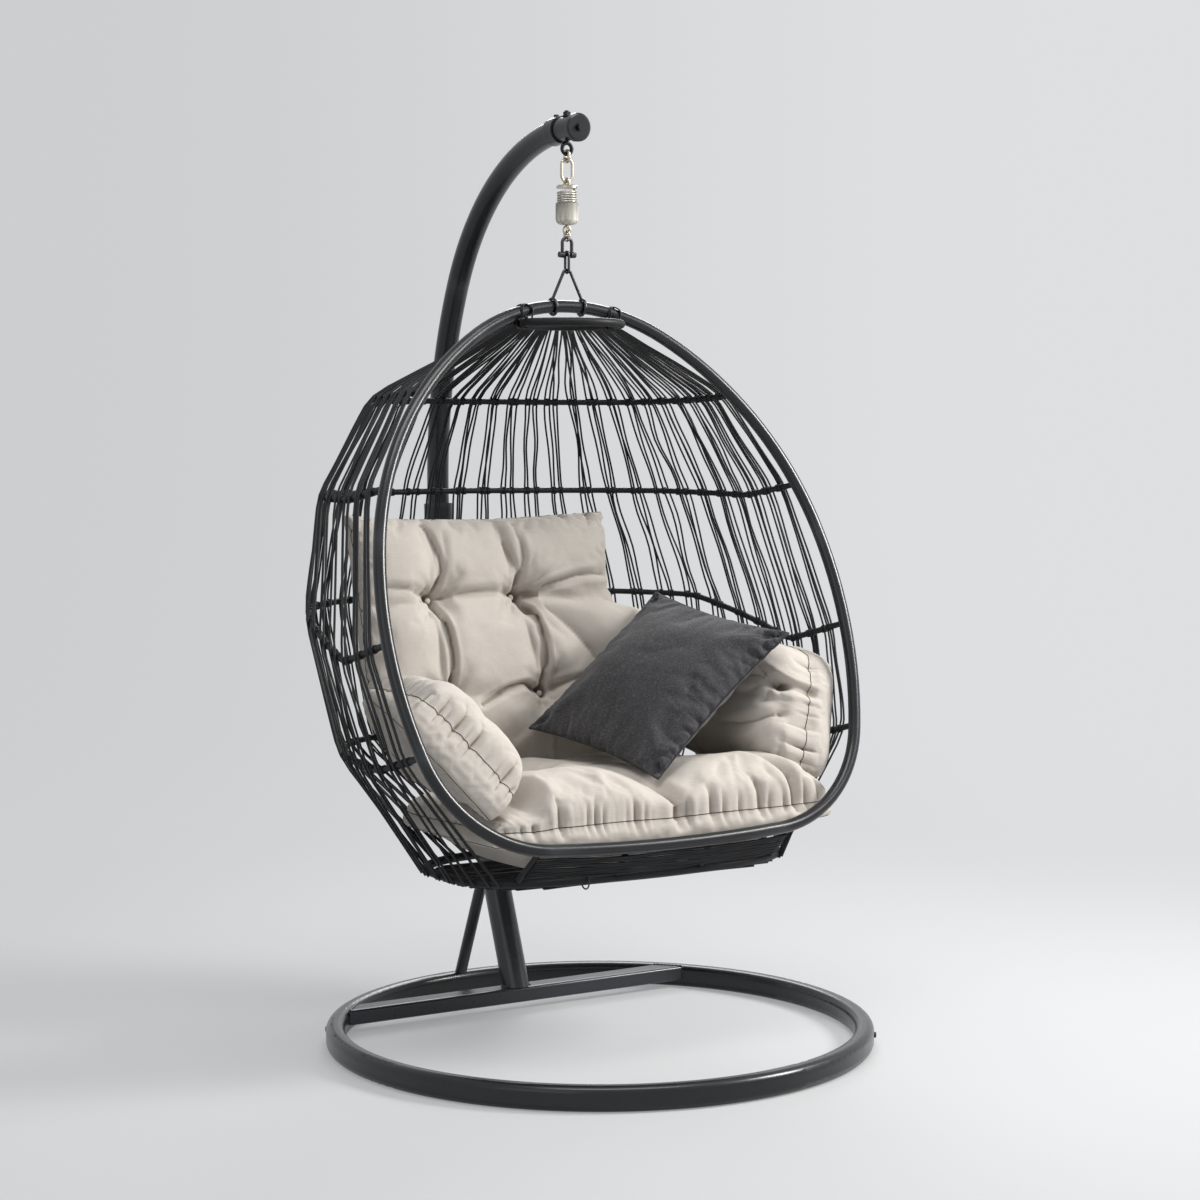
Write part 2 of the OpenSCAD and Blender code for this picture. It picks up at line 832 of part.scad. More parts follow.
module top_ring() {
    color(wicker)
        translate([0, top_ring_y, top_ring_z])
            rotate_extrude($fn = 120)
                translate([top_ring_r, 0])
                    circle(r = top_ring_d / 2, $fn = 48);
}

// A loop of wire round the hoop and the top ring, on each side, where they cross
tie_wire = 1.4;
module top_ring_ties() {
    across = sqrt(pow(top_ring_r, 2) - pow(hang_y - 5 - top_ring_y, 2));
    drop = hoop_arcs[0][0] * (1 - cos(asin(across / hoop_arcs[0][0])));
    rise = hoop_top - drop * cos(hoop_tilt) - top_ring_z;
    bend = 0.75 * hoop_d + tie_wire + 2.4;
    color(wicker)
        for (side = [-1, 1])
            translate([side * across, hang_y - 5, top_ring_z])
                rotate([0, 0, side * 45]) {
                    for (end = [0, 1])
                        translate([0, 0, end * rise])
                            rotate([90, 0, 90])
                                rotate_extrude(start = end * 180 + 180, angle = 180, $fn = 48)
                                    translate([bend, 0])
                                        circle(r = tie_wire, $fn = 24);
                    for (y = [-bend, bend])
                        translate([0, y, 0])
                            cylinder(h = rise, r = tie_wire, $fn = 24);
                }
}

module bottom_ring() {
    steps = 48;
    path = [for (i = [0:steps - 1]) bottom_point(360 * i / steps)];
    color(wicker)
        sweep(path, [for (p = path) [0, 0, 1]], bottom_ring_d / 2, 8, true);
}

stub_x = [-285, -95, 95, 285];
stub_r = 6;
// The stub's axis end on the hoop and on the bottom ring
function stub_top(x) =
    let (v = hoop_floor_c.y - sqrt(pow(hoop_floor_r, 2) - x * x)) on_hoop(x, v);
function stub_top_side(x) =
    let (c = hoop_centre(3), r = hoop_arcs[3][0])
    on_hoop(x, c.y - sqrt(pow(r, 2) - pow(abs(x) - c.x, 2)));
function stub_high(x) = abs(x) > hoop_low.x ? stub_top_side(x) : stub_top(x);
function stub_low(x) = [x * 1.03, bottom_front(x * 1.03), bottom_z];

module bottom_stubs() {
    color(wicker)
        for (x = stub_x) {
            a = stub_high(x);
            b = stub_low(x);
            d = unit(b - a);
            bar(a + (hoop_d / 2 + 0.4) * d, b - (bottom_ring_d / 2 + 1.6) * d, stub_r);
        }
}

// ---- wicker ----
module strand(a, b) {
    d = unit(b - a);
    bar(a + 1.6 * d, b - 1.6 * d, strand_d / 2, 6);
}

// Strand i is laid evenly on the top ring; on the rods it leans towards a neighbour and wanders
strand_pair = 0.19;
strand_wander = 0.1;
function strand_shift(level, i) =
    level == 0 ? 0 : strand_pair * (i % 2 == 0 ? 1 : -1) + strand_wander * sin(137 * i + 71 * level);

module strand_panel(from, to, count) {
    step = (to - from) / (count - 1);
    color(wicker)
        for (i = [0:count - 1], level = [0:4])
            strand(strand_point(level, from + step * (i + strand_shift(level, i))),
                strand_point(level + 1, from + step * (i + strand_shift(level + 1, i))));
}

panel_step = (side_end - strand_first) / side_strands;
module strands_right() {
    strand_panel(strand_first, side_end - panel_step, side_strands);
}

module strands_left() {
    strand_panel(180 - strand_first, 180 - side_end + panel_step, side_strands);
}

module strands_back() {
    strand_panel(side_end, 180 - side_end, back_strands);
}

floor_rows = 19;
floor_from = -188;
floor_to = 134;
front_rows = 7;
module strands_floor() {
    z = bottom_z - bottom_ring_d / 2 - strand_d / 2 - 0.4;
    color(wicker) {
        for (i = [0:floor_rows - 1]) {
            y = floor_from + (floor_to - floor_from) * i / (floor_rows - 1) + 3 * sin(137 * i);
            x = bottom_a * pow(1 - pow(abs(y - bottom_y) / bottom_b, 3), 1 / 3) - 7;
            strand([-x, y, z], [x, y, z]);
        }
        for (i = [1:front_rows], j = [0:2]) {
            f = 0.12 + 0.6 * i / front_rows;
            a = stub_high(stub_x[j]) * (1 - f) + stub_low(stub_x[j]) * f;
            b = stub_high(stub_x[j + 1]) * (1 - f) + stub_low(stub_x[j + 1]) * f;
            out = (stub_r + strand_d / 2 + 0.5) * [0, -0.82, -0.57];
            strand(a + out, b + out);
        }
    }
}

loop_wire = 1.5;
loop_bend = 14;
loop_x = -161;
module hanging_loop() {
    drop = loop_bend - loop_wire - bottom_ring_d / 2 - 0.5;
    color(steel)
        translate([loop_x, bottom_front(loop_x), bottom_z - drop])
            rotate([0, 90, 0])
                rotate_extrude($fn = 48)
                    translate([loop_bend, 0])
                        circle(r = loop_wire, $fn = 24);
}

// ---- cushions ----
edge = 8;

// Back cushion: u runs along x, v up the back, side 1 faces the sitter
back_x = -65;
back_half = 308;
back_tall = 278;
back_mid = [381, 781];
back_lean = 10.5;
back_tufts = [[-200, 90], [2, 90], [-200, -116], [48, -116]];
function back_point(u, v, side) =
    let (
        wide = u > 0 ? 120 * u / (1 + exp((v - 0.21) * 22)) : 0,
        low = max(0, -v - 0.3) / 0.7,
        x = (back_x + back_half * u * (1 - 0.04 * (1 - v * v)) + wide) * (1 - 0.27 * low * low),
        s = back_tall * v * (1 - 0.05 * (1 - u * u)),
        near = max([for (t = back_tufts) dimple(norm([x - t.x, s - t.y]), 40)]),
        seams = max([for (t = [-200, 24]) dimple(x - t + (t > 0 ? s * 0.22 : 0), 20)]),
        rows = max([for (t = [90, -116]) dimple(s - t, 20)]),
        dip = tuft_depth * max(near, 0.5 * seams, 0.34 * rows),
        full = fullness(u, v),
        crown = back_crown * (1 - 0.35 * low * low) - dip,
        d = side > 0 ? edge + crown * full : -edge - 34 * full,
        bow = 0.00045 + 0.0005 * low,
        y = back_mid.x + s * sin(back_lean) - bow * pow(x - back_x, 2)
    )
    [x, y - d * cos(back_lean), back_mid.y + s * cos(back_lean) + d * sin(back_lean)];

// Seat cushion: u along x, v along y, side 1 on top. Its front roll is the highest part, it is
// dented under the pillow's corner, and below it sags onto the floor strands.
seat_mid = [4, 34, 491];
seat_tufts = [[-130, 42], [150, 42]];
seat_dent = [30, -178];
seat_valley = 26;
seat_sag = 78;
function seat_point(u, v, side) =
    let (
        wing = v > 0 ? -0.32 * pow(v, 4) : u > 0 ? 0.11 * pow(v, 6) : 0.09 * v,
        x = seat_w * u * (1 - 0.05 * (1 - v * v)) * (1 + wing),
        y = seat_l * v * (1 - 0.04 * (1 - u * u)) + (v > 0 ? -80 * u * u : 40 * pow(u, 6)) * v * v,
        near = max([for (t = seat_tufts) dimple(norm([x - t.x, y - t.y]), 45)]),
        puffs = v < 0 ? pow(cos(270 * (u - 0.1)), 2) : 0,
        channel = dimple(x - 38, 16) * (v < 0 ? 1 : exp(-v * 8)),
        sides = 30 * (1 - dimple(v + 1, 0.4)) * (1 - dimple(abs(u) - 0.55, 0.2)),
        valley = seat_valley * (1 - dimple(v + 1, 0.55)) + (abs(u) > 0.55 ? sides : 0),
        dent = 40 * dimple(norm([x - seat_dent.x, y - seat_dent.y]), 75)
            + 14 * dimple(x - seat_dent.x, 70),
        corner = 71 / (1 + exp((u + 0.7) * 40)),
        dip = max(valley + (tuft_depth - 20) * near, 26 * channel, 7 * puffs, valley + dent, corner),
        full = pow((1 - pow(u, v > 0 ? 4 : 8)) * (1 - pow(v, 6)), 0.36),
        inside = max(0, 1 - pow(x / 300, 2)) * max(0, 1 - pow((y + 54) / 200, 2)),
        d = side > 0 ? edge + 6 + (seat_crown - dip) * full
            : -edge - 6 - 34 * full * (v > 0 ? 1 - v * v : 1) - seat_sag * sqrt(inside)
    )
    seat_mid + [x, y, d];

// Side bolster: u runs forwards and back, v up and leaning out; it follows the hoop's lean.
// The left one has slid down and inwards.
bolster_deep = 125;
function bolster_tall(hand) = hand > 0 ? 110 : 132;
function bolster_mid(hand) = hand > 0 ? [430, 668] : [388, 628];
function bolster_lean(hand) = hand > 0 ? 20 : 40;
function bolster_point(u, v, side, hand) =
    let (
        mid = bolster_mid(hand),
        lean = bolster_lean(hand),
        s = bolster_tall(hand) * v * (1 - 0.05 * (1 - u * u)),
        z = mid.y + s * cos(lean),
        front = hang_y - (hoop_top - z) * tan(hoop_tilt),
        a = bolster_deep * (1.16 - u * hand * (1 - 0.05 * (1 - v * v))),
        fold = 9 * dimple(s, 14) + 5 * pow(cos(450 * u), 2),
        full = fullness(u, v),
        d = side > 0 ? edge + (76 - fold) * full : -edge - 44 * full
    )
    [hand * (mid.x + s * sin(lean) - d * cos(lean)), front + a, z + d * sin(lean)];

module back_cushion() {
    color(beige)
        soft_shape(28, 20, function(u, v, side) back_point(u, v, side));
}

module seat_cushion() {
    color(beige)
        soft_shape(30, 18, function(u, v, side) seat_point(u, v, side));
}

module bolster_left() {
    color(beige)
        soft_shape(16, 12, function(u, v, side) bolster_point(u, v, side, -1));
}

module bolster_right() {
    color(beige)
        soft_shape(16, 12, function(u, v, side) bolster_point(u, v, side, 1));
}

button_r = 8;
module tuft_buttons() {
    color(beige) {
        for (t = back_tufts) {
            d = edge + back_crown - tuft_depth + 4;
            y = back_mid.x + t.y * sin(back_lean) - 0.00045 * pow(t.x - back_x, 2);
            translate([t.x, y - d * cos(back_lean),
                back_mid.y + t.y * cos(back_lean) + d * sin(back_lean)])
                rotate([90 - back_lean, 0, 0])
                    cylinder(h = 3, r1 = button_r, r2 = button_r - 3, $fn = 32);
        }
        for (t = seat_tufts)
            translate([seat_mid.x + t.x, seat_mid.y + t.y,
                seat_mid.z + edge + 6 + seat_crown - seat_valley - tuft_depth + 24])
                cylinder(h = 3, r1 = button_r, r2 = button_r - 3, $fn = 32);
    }
}

// Throw pillow: two full sides sewn together, leaning on the right bolster
pillow_mid = [176, 60, 713];
pillow_along = [0.755, 0, 0.656];
pillow_across = [-0.135, 0.978, 0.155];
function pillow_point(u, v, side) =
    let (
        x = pillow_l / 2 * u * (1 - 0.07 * (1 - v * v)),
        y = pillow_w / 2 * v * (1 - 0.07 * (1 - u * u)),
        full = pow((1 - pow(u, 2)) * (1 - pow(v, 2)), 0.62),
        normal = cross(pillow_along, pillow_across)
    )
    pillow_mid + x * pillow_along + y * pillow_across + side * (2 + pillow_crown * full) * normal;

module throw_pillow() {
    color(charcoal)
        soft_shape(16, 16, function(u, v, side) pillow_point(u, v, side));
}

base_ring_front();
base_ring_rear();
ring_spigots();
ring_bolts();
crossbar();
lower_post();
post_brace();
post_collar();
arm_bolt();
upper_arm();
arm_band();
arm_band_bolt();
arm_end_cap();
end_cap_bolt();
hanger_eye();
hanger_nut();
top_link();
ring_link();
spring_top_cap();
coil_spring();
spring_sleeve();
swivel_eye();
small_ring();
shackle();
shackle_pin();
chain_link();
bail();
hoop();
rod(0);  // rod_1
rod(1);  // rod_2
rod(2);  // rod_3
rod(3);  // rod_4
top_ring();
top_ring_ties();
bottom_ring();
bottom_stubs();
strands_left();
strands_back();
strands_right();
strands_floor();
hanging_loop();
back_cushion();
seat_cushion();
bolster_left();
bolster_right();
tuft_buttons();
throw_pillow();
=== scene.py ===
import functools
import json
import math

import bpy
import numpy as np
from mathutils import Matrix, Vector


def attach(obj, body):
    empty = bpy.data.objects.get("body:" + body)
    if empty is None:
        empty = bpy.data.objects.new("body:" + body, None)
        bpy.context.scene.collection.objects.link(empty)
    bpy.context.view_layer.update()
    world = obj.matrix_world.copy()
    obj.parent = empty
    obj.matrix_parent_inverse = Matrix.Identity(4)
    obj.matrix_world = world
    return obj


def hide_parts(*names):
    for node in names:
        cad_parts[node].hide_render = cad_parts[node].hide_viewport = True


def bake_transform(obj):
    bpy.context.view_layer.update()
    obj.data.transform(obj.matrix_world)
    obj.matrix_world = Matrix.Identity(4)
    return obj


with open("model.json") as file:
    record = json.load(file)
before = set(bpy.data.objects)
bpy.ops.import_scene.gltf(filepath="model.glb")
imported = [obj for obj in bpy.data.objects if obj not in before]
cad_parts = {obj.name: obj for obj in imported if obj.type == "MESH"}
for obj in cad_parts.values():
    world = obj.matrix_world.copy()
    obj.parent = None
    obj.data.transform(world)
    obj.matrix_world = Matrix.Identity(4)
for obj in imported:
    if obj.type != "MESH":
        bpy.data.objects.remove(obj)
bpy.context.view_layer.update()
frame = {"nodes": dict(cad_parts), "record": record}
nodes = frame["nodes"]
cordNoise = np.random.default_rng(11)
print("frame loaded:", len(nodes), "nodes")


def unit(v):
    v = np.asarray(v, float)
    return v / np.linalg.norm(v, axis=-1, keepdims=True)


def dimple(d, width):
    return np.exp(-(d / width) ** 2)


def meshObject(name, verts, faces, material, attributes=None):
    mesh = bpy.data.meshes.new(name)
    mesh.from_pydata([tuple(v) for v in verts], [], [tuple(int(i) for i in f) for f in faces])
    mesh.polygons.foreach_set("use_smooth", [True] * len(mesh.polygons))
    for key, values in (attributes or {}).items():
        layer = mesh.attributes.new(key, "FLOAT", "POINT")
        layer.data.foreach_set("value", np.asarray(values, np.float32))
    mesh.materials.append(material)
    obj = bpy.data.objects.new(name, mesh)
    bpy.context.scene.collection.objects.link(obj)
    return obj


# A tube along a path in mm; radius is one value or one per ring, ripple(turn, ring) adds to it
def sweepTube(path, radius, sides=8, closed=False, ripple=None):
    path = np.asarray(path, float)
    n = len(path)
    if closed:
        ahead = unit(np.roll(path, -1, 0) - np.roll(path, 1, 0))
    else:
        ahead = unit(np.gradient(path, axis=0))
    side = np.zeros_like(path)
    start = np.array([0, 0, 1.0]) if abs(ahead[0][2]) < 0.9 else np.array([1.0, 0, 0])
    side[0] = unit(np.cross(ahead[0], start))
    for i in range(1, n):
        carried = side[i - 1] - ahead[i] * np.dot(side[i - 1], ahead[i])
        side[i] = unit(carried)
    up = np.cross(ahead, side)
    if closed:                                   # spread the leftover twist over the loop
        last = side[-1] - ahead[0] * np.dot(side[-1], ahead[0])
        twist = math.atan2(np.dot(last, up[0]), np.dot(last, side[0]))
        turn = -twist * np.arange(n) / n
        side, up = (side * np.cos(turn)[:, None] + up * np.sin(turn)[:, None],
                    up * np.cos(turn)[:, None] - side * np.sin(turn)[:, None])
    angle = 2 * math.pi * np.arange(sides) / sides
    radii = np.broadcast_to(np.asarray(radius, float), (n,))[:, None] * np.ones(sides)
    if ripple is not None:
        radii = radii + ripple(angle[None, :], np.arange(n)[:, None])
    rings = (path[:, None, :] + radii[..., None] * (np.cos(angle)[None, :, None] * side[:, None, :]
             + np.sin(angle)[None, :, None] * up[:, None, :]))
    verts = rings.reshape(-1, 3)
    i = np.arange(n if closed else n - 1)[:, None]
    j = np.arange(sides)[None, :]
    a = i * sides + j
    b = i * sides + (j + 1) % sides
    c = ((i + 1) % n) * sides + (j + 1) % sides
    d = ((i + 1) % n) * sides + j
    faces = np.stack([a, b, c, d], -1).reshape(-1, 4).tolist()
    if not closed:
        faces.append(list(range(sides))[::-1])
        faces.append([(n - 1) * sides + k for k in range(sides)])
    return verts, faces


# Several (verts, faces) in mm become one object in metres
def joined(name, parts, material):
    verts, faces, base = [], [], 0
    for v, f in parts:
        verts.append(v)
        faces += [[base + k for k in face] for face in f]
        base += len(v)
    return meshObject(name, np.vstack(verts) / 1000, faces, material)


# Hides the parts a piece stands in for and hangs the piece on the body that carries it
def settle(piece, slot, body, *stands):
    if stands:
        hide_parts(*stands)
    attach(piece, body)


# A piece of several shapes in mm, with the finish of its slot unless another is given
def fitted(name, parts, slot, body, *stands, material=None):
    settle(joined(name, parts, material or finishes[slot]), slot, body, *stands)


# Points along a polyline at an even step
def resampled(points, step):
    points = np.asarray(points, float)
    lengths = np.r_[0, np.cumsum(np.linalg.norm(np.diff(points, axis=0), axis=1))]
    at = np.linspace(0, lengths[-1], max(2, int(round(lengths[-1] / step)) + 1))
    return np.stack([np.interp(at, lengths, points[:, k]) for k in range(3)], -1)


def rounded(points, times=2):
    points = np.asarray(points, float)
    for _ in range(times):
        inner = 0.25 * points[:-2] + 0.5 * points[1:-1] + 0.25 * points[2:]
        points = np.vstack([points[:1], inner, points[-1:]])
    return points


# Turns of cord round a bar: centre, the bar's direction, the radius to the cord's middle
def cordTurns(centre, axis, radius, wire, turns, start):
    axis = unit(axis)
    one = unit(np.cross(axis, [0.3, 0.2, 1.0]))
    two = np.cross(axis, one)
    t = np.linspace(0, turns, int(turns * 10) + 1)
    a = 2 * math.pi * t + start
    along = (t - turns / 2) * wire * 2.05
    path = (np.asarray(centre) + radius * (np.cos(a)[:, None] * one + np.sin(a)[:, None] * two)
            + along[:, None] * axis)
    return sweepTube(path, wire, 6)


def addNode(tree, kind, inputs=None, **settings):
    made = tree.nodes.new(kind)
    for key, value in settings.items():
        setattr(made, key, value)
    for key, value in (inputs or {}).items():
        if isinstance(value, bpy.types.NodeSocket):
            tree.links.new(value, made.inputs[key])
        else:
            made.inputs[key].default_value = value
    return made


def mathNode(tree, kind, one, two):
    return addNode(tree, "ShaderNodeMath", {0: one, 1: two}, operation=kind).outputs[0]


def noiseNode(tree, vector, scale, detail, **more):
    inputs = {"Vector": vector, "Scale": scale, "Detail": detail, **more}
    return addNode(tree, "ShaderNodeTexNoise", inputs).outputs["Fac"]


# Coordinates drawn out differently along the three directions
def stretched(tree, coords, scale):
    return addNode(tree, "ShaderNodeMapping", {"Vector": coords, "Scale": scale}).outputs["Vector"]


def rampNode(tree, value, low, dark, high, light):
    ramp = addNode(tree, "ShaderNodeValToRGB", {"Fac": value})
    for element, place, color in zip(ramp.color_ramp.elements, (low, high), (dark, light)):
        element.position = place
        element.color = (*color, 1)
    return ramp.outputs["Color"]


def startMaterial(name):
    material = bpy.data.materials.new(name)
    material.use_nodes = True
    tree = material.node_tree
    shader = tree.nodes["Principled BSDF"]
    coords = addNode(tree, "ShaderNodeTexCoord").outputs["Object"]
    return material, tree, shader, coords


# A colour that wanders between two tones with noise of the given scale
def mottled(tree, coords, scale, dark, light, low=0.35, high=0.65):
    noise = noiseNode(tree, coords, scale, 4.0, Roughness=0.6)
    return rampNode(tree, noise, low, dark, high, light)


def mixColors(tree, share, one, two, kind="MIX"):
    mix = addNode(tree, "ShaderNodeMix", data_type="RGBA", blend_type=kind)
    for socket, value in zip((mix.inputs[0], mix.inputs[6], mix.inputs[7]), (share, one, two)):
        if isinstance(value, bpy.types.NodeSocket):
            tree.links.new(value, socket)
        else:
            socket.default_value = value if isinstance(value, float) else (*value, 1)
    return mix.outputs[2]


def rangeOf(tree, value, low, high, start=0.0, end=1.0, **settings):
    inputs = {"Value": value, "From Min": start, "From Max": end, "To Min": low, "To Max": high}
    return addNode(tree, "ShaderNodeMapRange", inputs, **settings).outputs["Result"]


# 0 to 1 along edges (worn), or from 1 to 0 out of hollows (grime on metal, painted shade in the cloth's
# folds), from the surface's pointiness
def edgeMask(tree, start, end, flip=False):
    point = addNode(tree, "ShaderNodeNewGeometry").outputs["Pointiness"]
    return rangeOf(tree, point, *((1.0, 0.0) if flip else (0.0, 1.0)), start, end)


def bumped(tree, shader, height, strength, distance, normal=None):
    inputs = {"Height": height, "Strength": strength, "Distance": distance}
    if normal is not None:
        inputs["Normal"] = normal
    bump = addNode(tree, "ShaderNodeBump", inputs)
    tree.links.new(bump.outputs["Normal"], shader.inputs["Normal"])
    return bump.outputs["Normal"]


powderLook = {"dark": (0.0040, 0.0048, 0.0066), "light": (0.0075, 0.0086, 0.0112),
              "worn": (0.030, 0.034, 0.040), "roughLow": 0.24, "roughHigh": 0.34}


def powderCoat(name):
    look = powderLook
    material, tree, shader, coords = startMaterial(name)
    base = mottled(tree, coords, 9.0, look["dark"], look["light"])
    dust = noiseNode(tree, coords, 40.0, 6.0)
    worn = edgeMask(tree, 0.53, 0.62)
    tree.links.new(mixColors(tree, worn, base, look["worn"]), shader.inputs["Base Color"])
    tree.links.new(rangeOf(tree, dust, look["roughLow"], look["roughHigh"]), shader.inputs["Roughness"])
    peel = bumped(tree, shader, noiseNode(tree, coords, 620.0, 2.0), 0.08, 0.0004)
    bumped(tree, shader, noiseNode(tree, coords, 35.0, 1.0), 0.06, 0.002, peel)
    shader.inputs["Specular IOR Level"].default_value = 0.36
    shader.inputs["Coat Weight"].default_value = 0.25
    shader.inputs["Coat Roughness"].default_value = 0.20
    return material


# Metal with fine scratches and tarnish in the hollows
def wornMetal(name, dark, light, roughLow, roughHigh, grime):
    material, tree, shader, coords = startMaterial(name)
    base = mottled(tree, coords, 120.0, dark, light, 0.3, 0.7)
    hollow = edgeMask(tree, 0.42, 0.50, flip=True)
    tree.links.new(mixColors(tree, hollow, base, grime), shader.inputs["Base Color"])
    scratches = noiseNode(tree, stretched(tree, coords, (900.0, 900.0, 60.0)), 1.0, 3.0)
    tree.links.new(rangeOf(tree, scratches, roughLow, roughHigh), shader.inputs["Roughness"])
    bumped(tree, shader, scratches, 0.12, 0.0002)
    shader.inputs["Metallic"].default_value = 1.0
    return material


# Painted shrink sleeve: off-white with faint runs down it and scuffs at the rims
def sleevePaint(name):
    material, tree, shader, coords = startMaterial(name)
    runs = noiseNode(tree, stretched(tree, coords, (240.0, 240.0, 24.0)), 1.0, 5.0)
    base = rampNode(tree, runs, 0.36, (0.40, 0.37, 0.31), 0.56, (0.70, 0.67, 0.60))
    scuffs = edgeMask(tree, 0.52, 0.60)
    tree.links.new(mixColors(tree, scuffs, base, (0.25, 0.23, 0.20)), shader.inputs["Base Color"])
    tree.links.new(rangeOf(tree, runs, 0.38, 0.62), shader.inputs["Roughness"])
    bumped(tree, shader, runs, 0.25, 0.0006)
    return material


# Round resin cord: black with a soft shine, fine grooves and a little dust
def resinCord(name, dark, light):
    material, tree, shader, coords = startMaterial(name)
    base = mottled(tree, coords, 60.0, dark, light)
    dust = edgeMask(tree, 0.50, 0.58)
    tree.links.new(mixColors(tree, dust, base, (0.020, 0.021, 0.023)), shader.inputs["Base Color"])
    grooves = noiseNode(tree, coords, 900.0, 4.0)
    tree.links.new(rangeOf(tree, grooves, 0.34, 0.56), shader.inputs["Roughness"])
    bumped(tree, shader, grooves, 0.35, 0.0005)
    shader.inputs["Specular IOR Level"].default_value = 0.22
    return material


# Woven cloth: crossing threads with slubs and fuzz, and painted shade that darkens the folds
def wovenCloth(name, look):
    material, tree, shader, coords = startMaterial(name)
    base = mottled(tree, coords, look["patchScale"], look["dark"], look["light"], 0.3, 0.7)
    slubs = noiseNode(tree, stretched(tree, coords, look["slubScale"]), 1.0, 4.0)
    color = mixColors(tree, rangeOf(tree, slubs, 0.0, look["slubShare"], 0.48, 0.72), base, look["thread"])
    # Painted shade: the cloth's hollows are mixed towards the fold colour, as if shade fell in them
    hollow = edgeMask(tree, look["foldLow"], look["foldHigh"], flip=True)
    color = mixColors(tree, mathNode(tree, "MULTIPLY", hollow, look["foldShare"]), color, look["fold"])
    tree.links.new(color, shader.inputs["Base Color"])
    threads = [addNode(tree, "ShaderNodeTexWave",
                       {"Vector": coords, "Scale": look["threads"], "Distortion": 1.2,
                        "Detail": 1.0, "Detail Scale": 1.5},
                       wave_type="BANDS", bands_direction=axis, wave_profile="SIN").outputs["Fac"]
               for axis in ("X", "Y", "Z")]
    weave = mathNode(tree, "ADD", mathNode(tree, "ADD", threads[0], threads[1]), threads[2])
    fuzz = noiseNode(tree, coords, 1400.0, 3.0)
    fine = bumped(tree, shader, mathNode(tree, "ADD", weave, fuzz), look["weaveStrength"], 0.0004)
    creases = noiseNode(tree, coords, look["creaseScale"], 4.0, Roughness=0.55, Distortion=0.8)
    bumped(tree, shader, creases, look["creaseStrength"], 0.006, fine)
    tree.links.new(rangeOf(tree, fuzz, 0.78, 0.95), shader.inputs["Roughness"])
    shader.inputs["Sheen Weight"].default_value = look["sheen"]
    shader.inputs["Sheen Roughness"].default_value = 0.45
    shader.inputs["Specular IOR Level"].default_value = 0.25
    return material


# In these looks, fold is a painted shade colour laid into the cloth's hollows, where shade would fall
beigeLook = {"dark": (0.540, 0.497, 0.447), "light": (0.595, 0.552, 0.500),
             "thread": (0.66, 0.62, 0.565), "fold": (0.33, 0.285, 0.240), "foldShare": 0.8,
             "foldLow": 0.44, "foldHigh": 0.495, "patchScale": 5.0,
             "slubScale": (60.0, 60.0, 700.0), "slubShare": 0.35, "threads": 420.0,
             "weaveStrength": 0.16, "creaseScale": 22.0, "creaseStrength": 0.22, "sheen": 0.12}
greyLook = {"dark": (0.034, 0.033, 0.037), "light": (0.053, 0.052, 0.057),
            "thread": (0.15, 0.147, 0.156), "fold": (0.022, 0.021, 0.024), "foldShare": 0.6,
            "foldLow": 0.44, "foldHigh": 0.495, "patchScale": 9.0,
            "slubScale": (500.0, 90.0, 500.0), "slubShare": 0.55, "threads": 330.0,
            "weaveStrength": 0.35, "creaseScale": 30.0, "creaseStrength": 0.25, "sheen": 0.22}

finishes = {
    "black_steel": powderCoat("powder_coated_steel"),
    "black_bolts": wornMetal("black_zinc", (0.020, 0.021, 0.024), (0.045, 0.047, 0.052),
                             0.28, 0.45, (0.010, 0.010, 0.011)),
    "collar": powderCoat("collar"),
    "bright_link": wornMetal("plated_link", (0.42, 0.37, 0.29), (0.58, 0.53, 0.44),
                             0.22, 0.42, (0.10, 0.085, 0.065)),
    "spring_wire": wornMetal("spring_steel", (0.36, 0.335, 0.29), (0.52, 0.49, 0.44),
                             0.26, 0.46, (0.09, 0.08, 0.065)),
    "dark_link": wornMetal("blued_link", (0.045, 0.045, 0.048), (0.085, 0.084, 0.086),
                           0.24, 0.42, (0.018, 0.017, 0.017)),
    "cream_sleeve": sleevePaint("sleeve_paint"),
    "wicker": resinCord("resin_cord", (0.006, 0.0062, 0.007), (0.013, 0.0133, 0.0145)),
    "wrapped_rod": resinCord("rod_wrap_cord", (0.006, 0.0062, 0.007), (0.012, 0.0123, 0.0135)),
    "beige_fabric": wovenCloth("beige_cloth", beigeLook),
    "grey_fabric": wovenCloth("charcoal_cloth", greyLook)}
seamThreads = {"beige_fabric": resinCord("seam_thread", (0.20, 0.17, 0.14), (0.28, 0.245, 0.205)),
               "grey_fabric": resinCord("pillow_thread", (0.030, 0.029, 0.032), (0.050, 0.049, 0.053))}
for part in frame["record"]["subparts"]:
    obj = nodes[part["node"]]
    for each in obj.material_slots:
        each.material = finishes[part["material_slot"]]
print("materials done")

# The basket's shape in mm, as the solids have it
basket = {"hangY": 126.056, "hoopTop": 1479.0, "hoopTilt": math.radians(20), "hoopR": 12.5,
          "hoopArcs": ((405, 33), (670, 45), (890, 27.5), (262, 70.5)),
          "hoopTurns": (0, 33, 78, 105.5, 176), "square": 3.4, "rodR": 6.5,
          "rodHeights": ((1303, 1296, 1292, 1292), (1118, 1092, 1098, 1100),
                         (832, 785, 868, 884), (628, 582, 590, 600)),
          "rodBacks": (462, 522, 524, 434), "rodStop": (0, 0.22, 0.5, 1),
          "topRingR": 104.0, "topRingZ": 1443.0, "ringR": 9.0,
          "bottomA": 370.0, "bottomB": 190.0, "bottomY": -20.0, "bottomZ": 372.0}


def hoopCentres():
    arcs, turns = basket["hoopArcs"], basket["hoopTurns"]
    centres = [np.array([0.0, -arcs[0][0]])]
    for i in range(1, 4):
        t = math.radians(turns[i])
        step = (arcs[i - 1][0] - arcs[i][0]) * np.array([math.sin(t), math.cos(t)])
        centres.append(centres[-1] + step)
    return centres


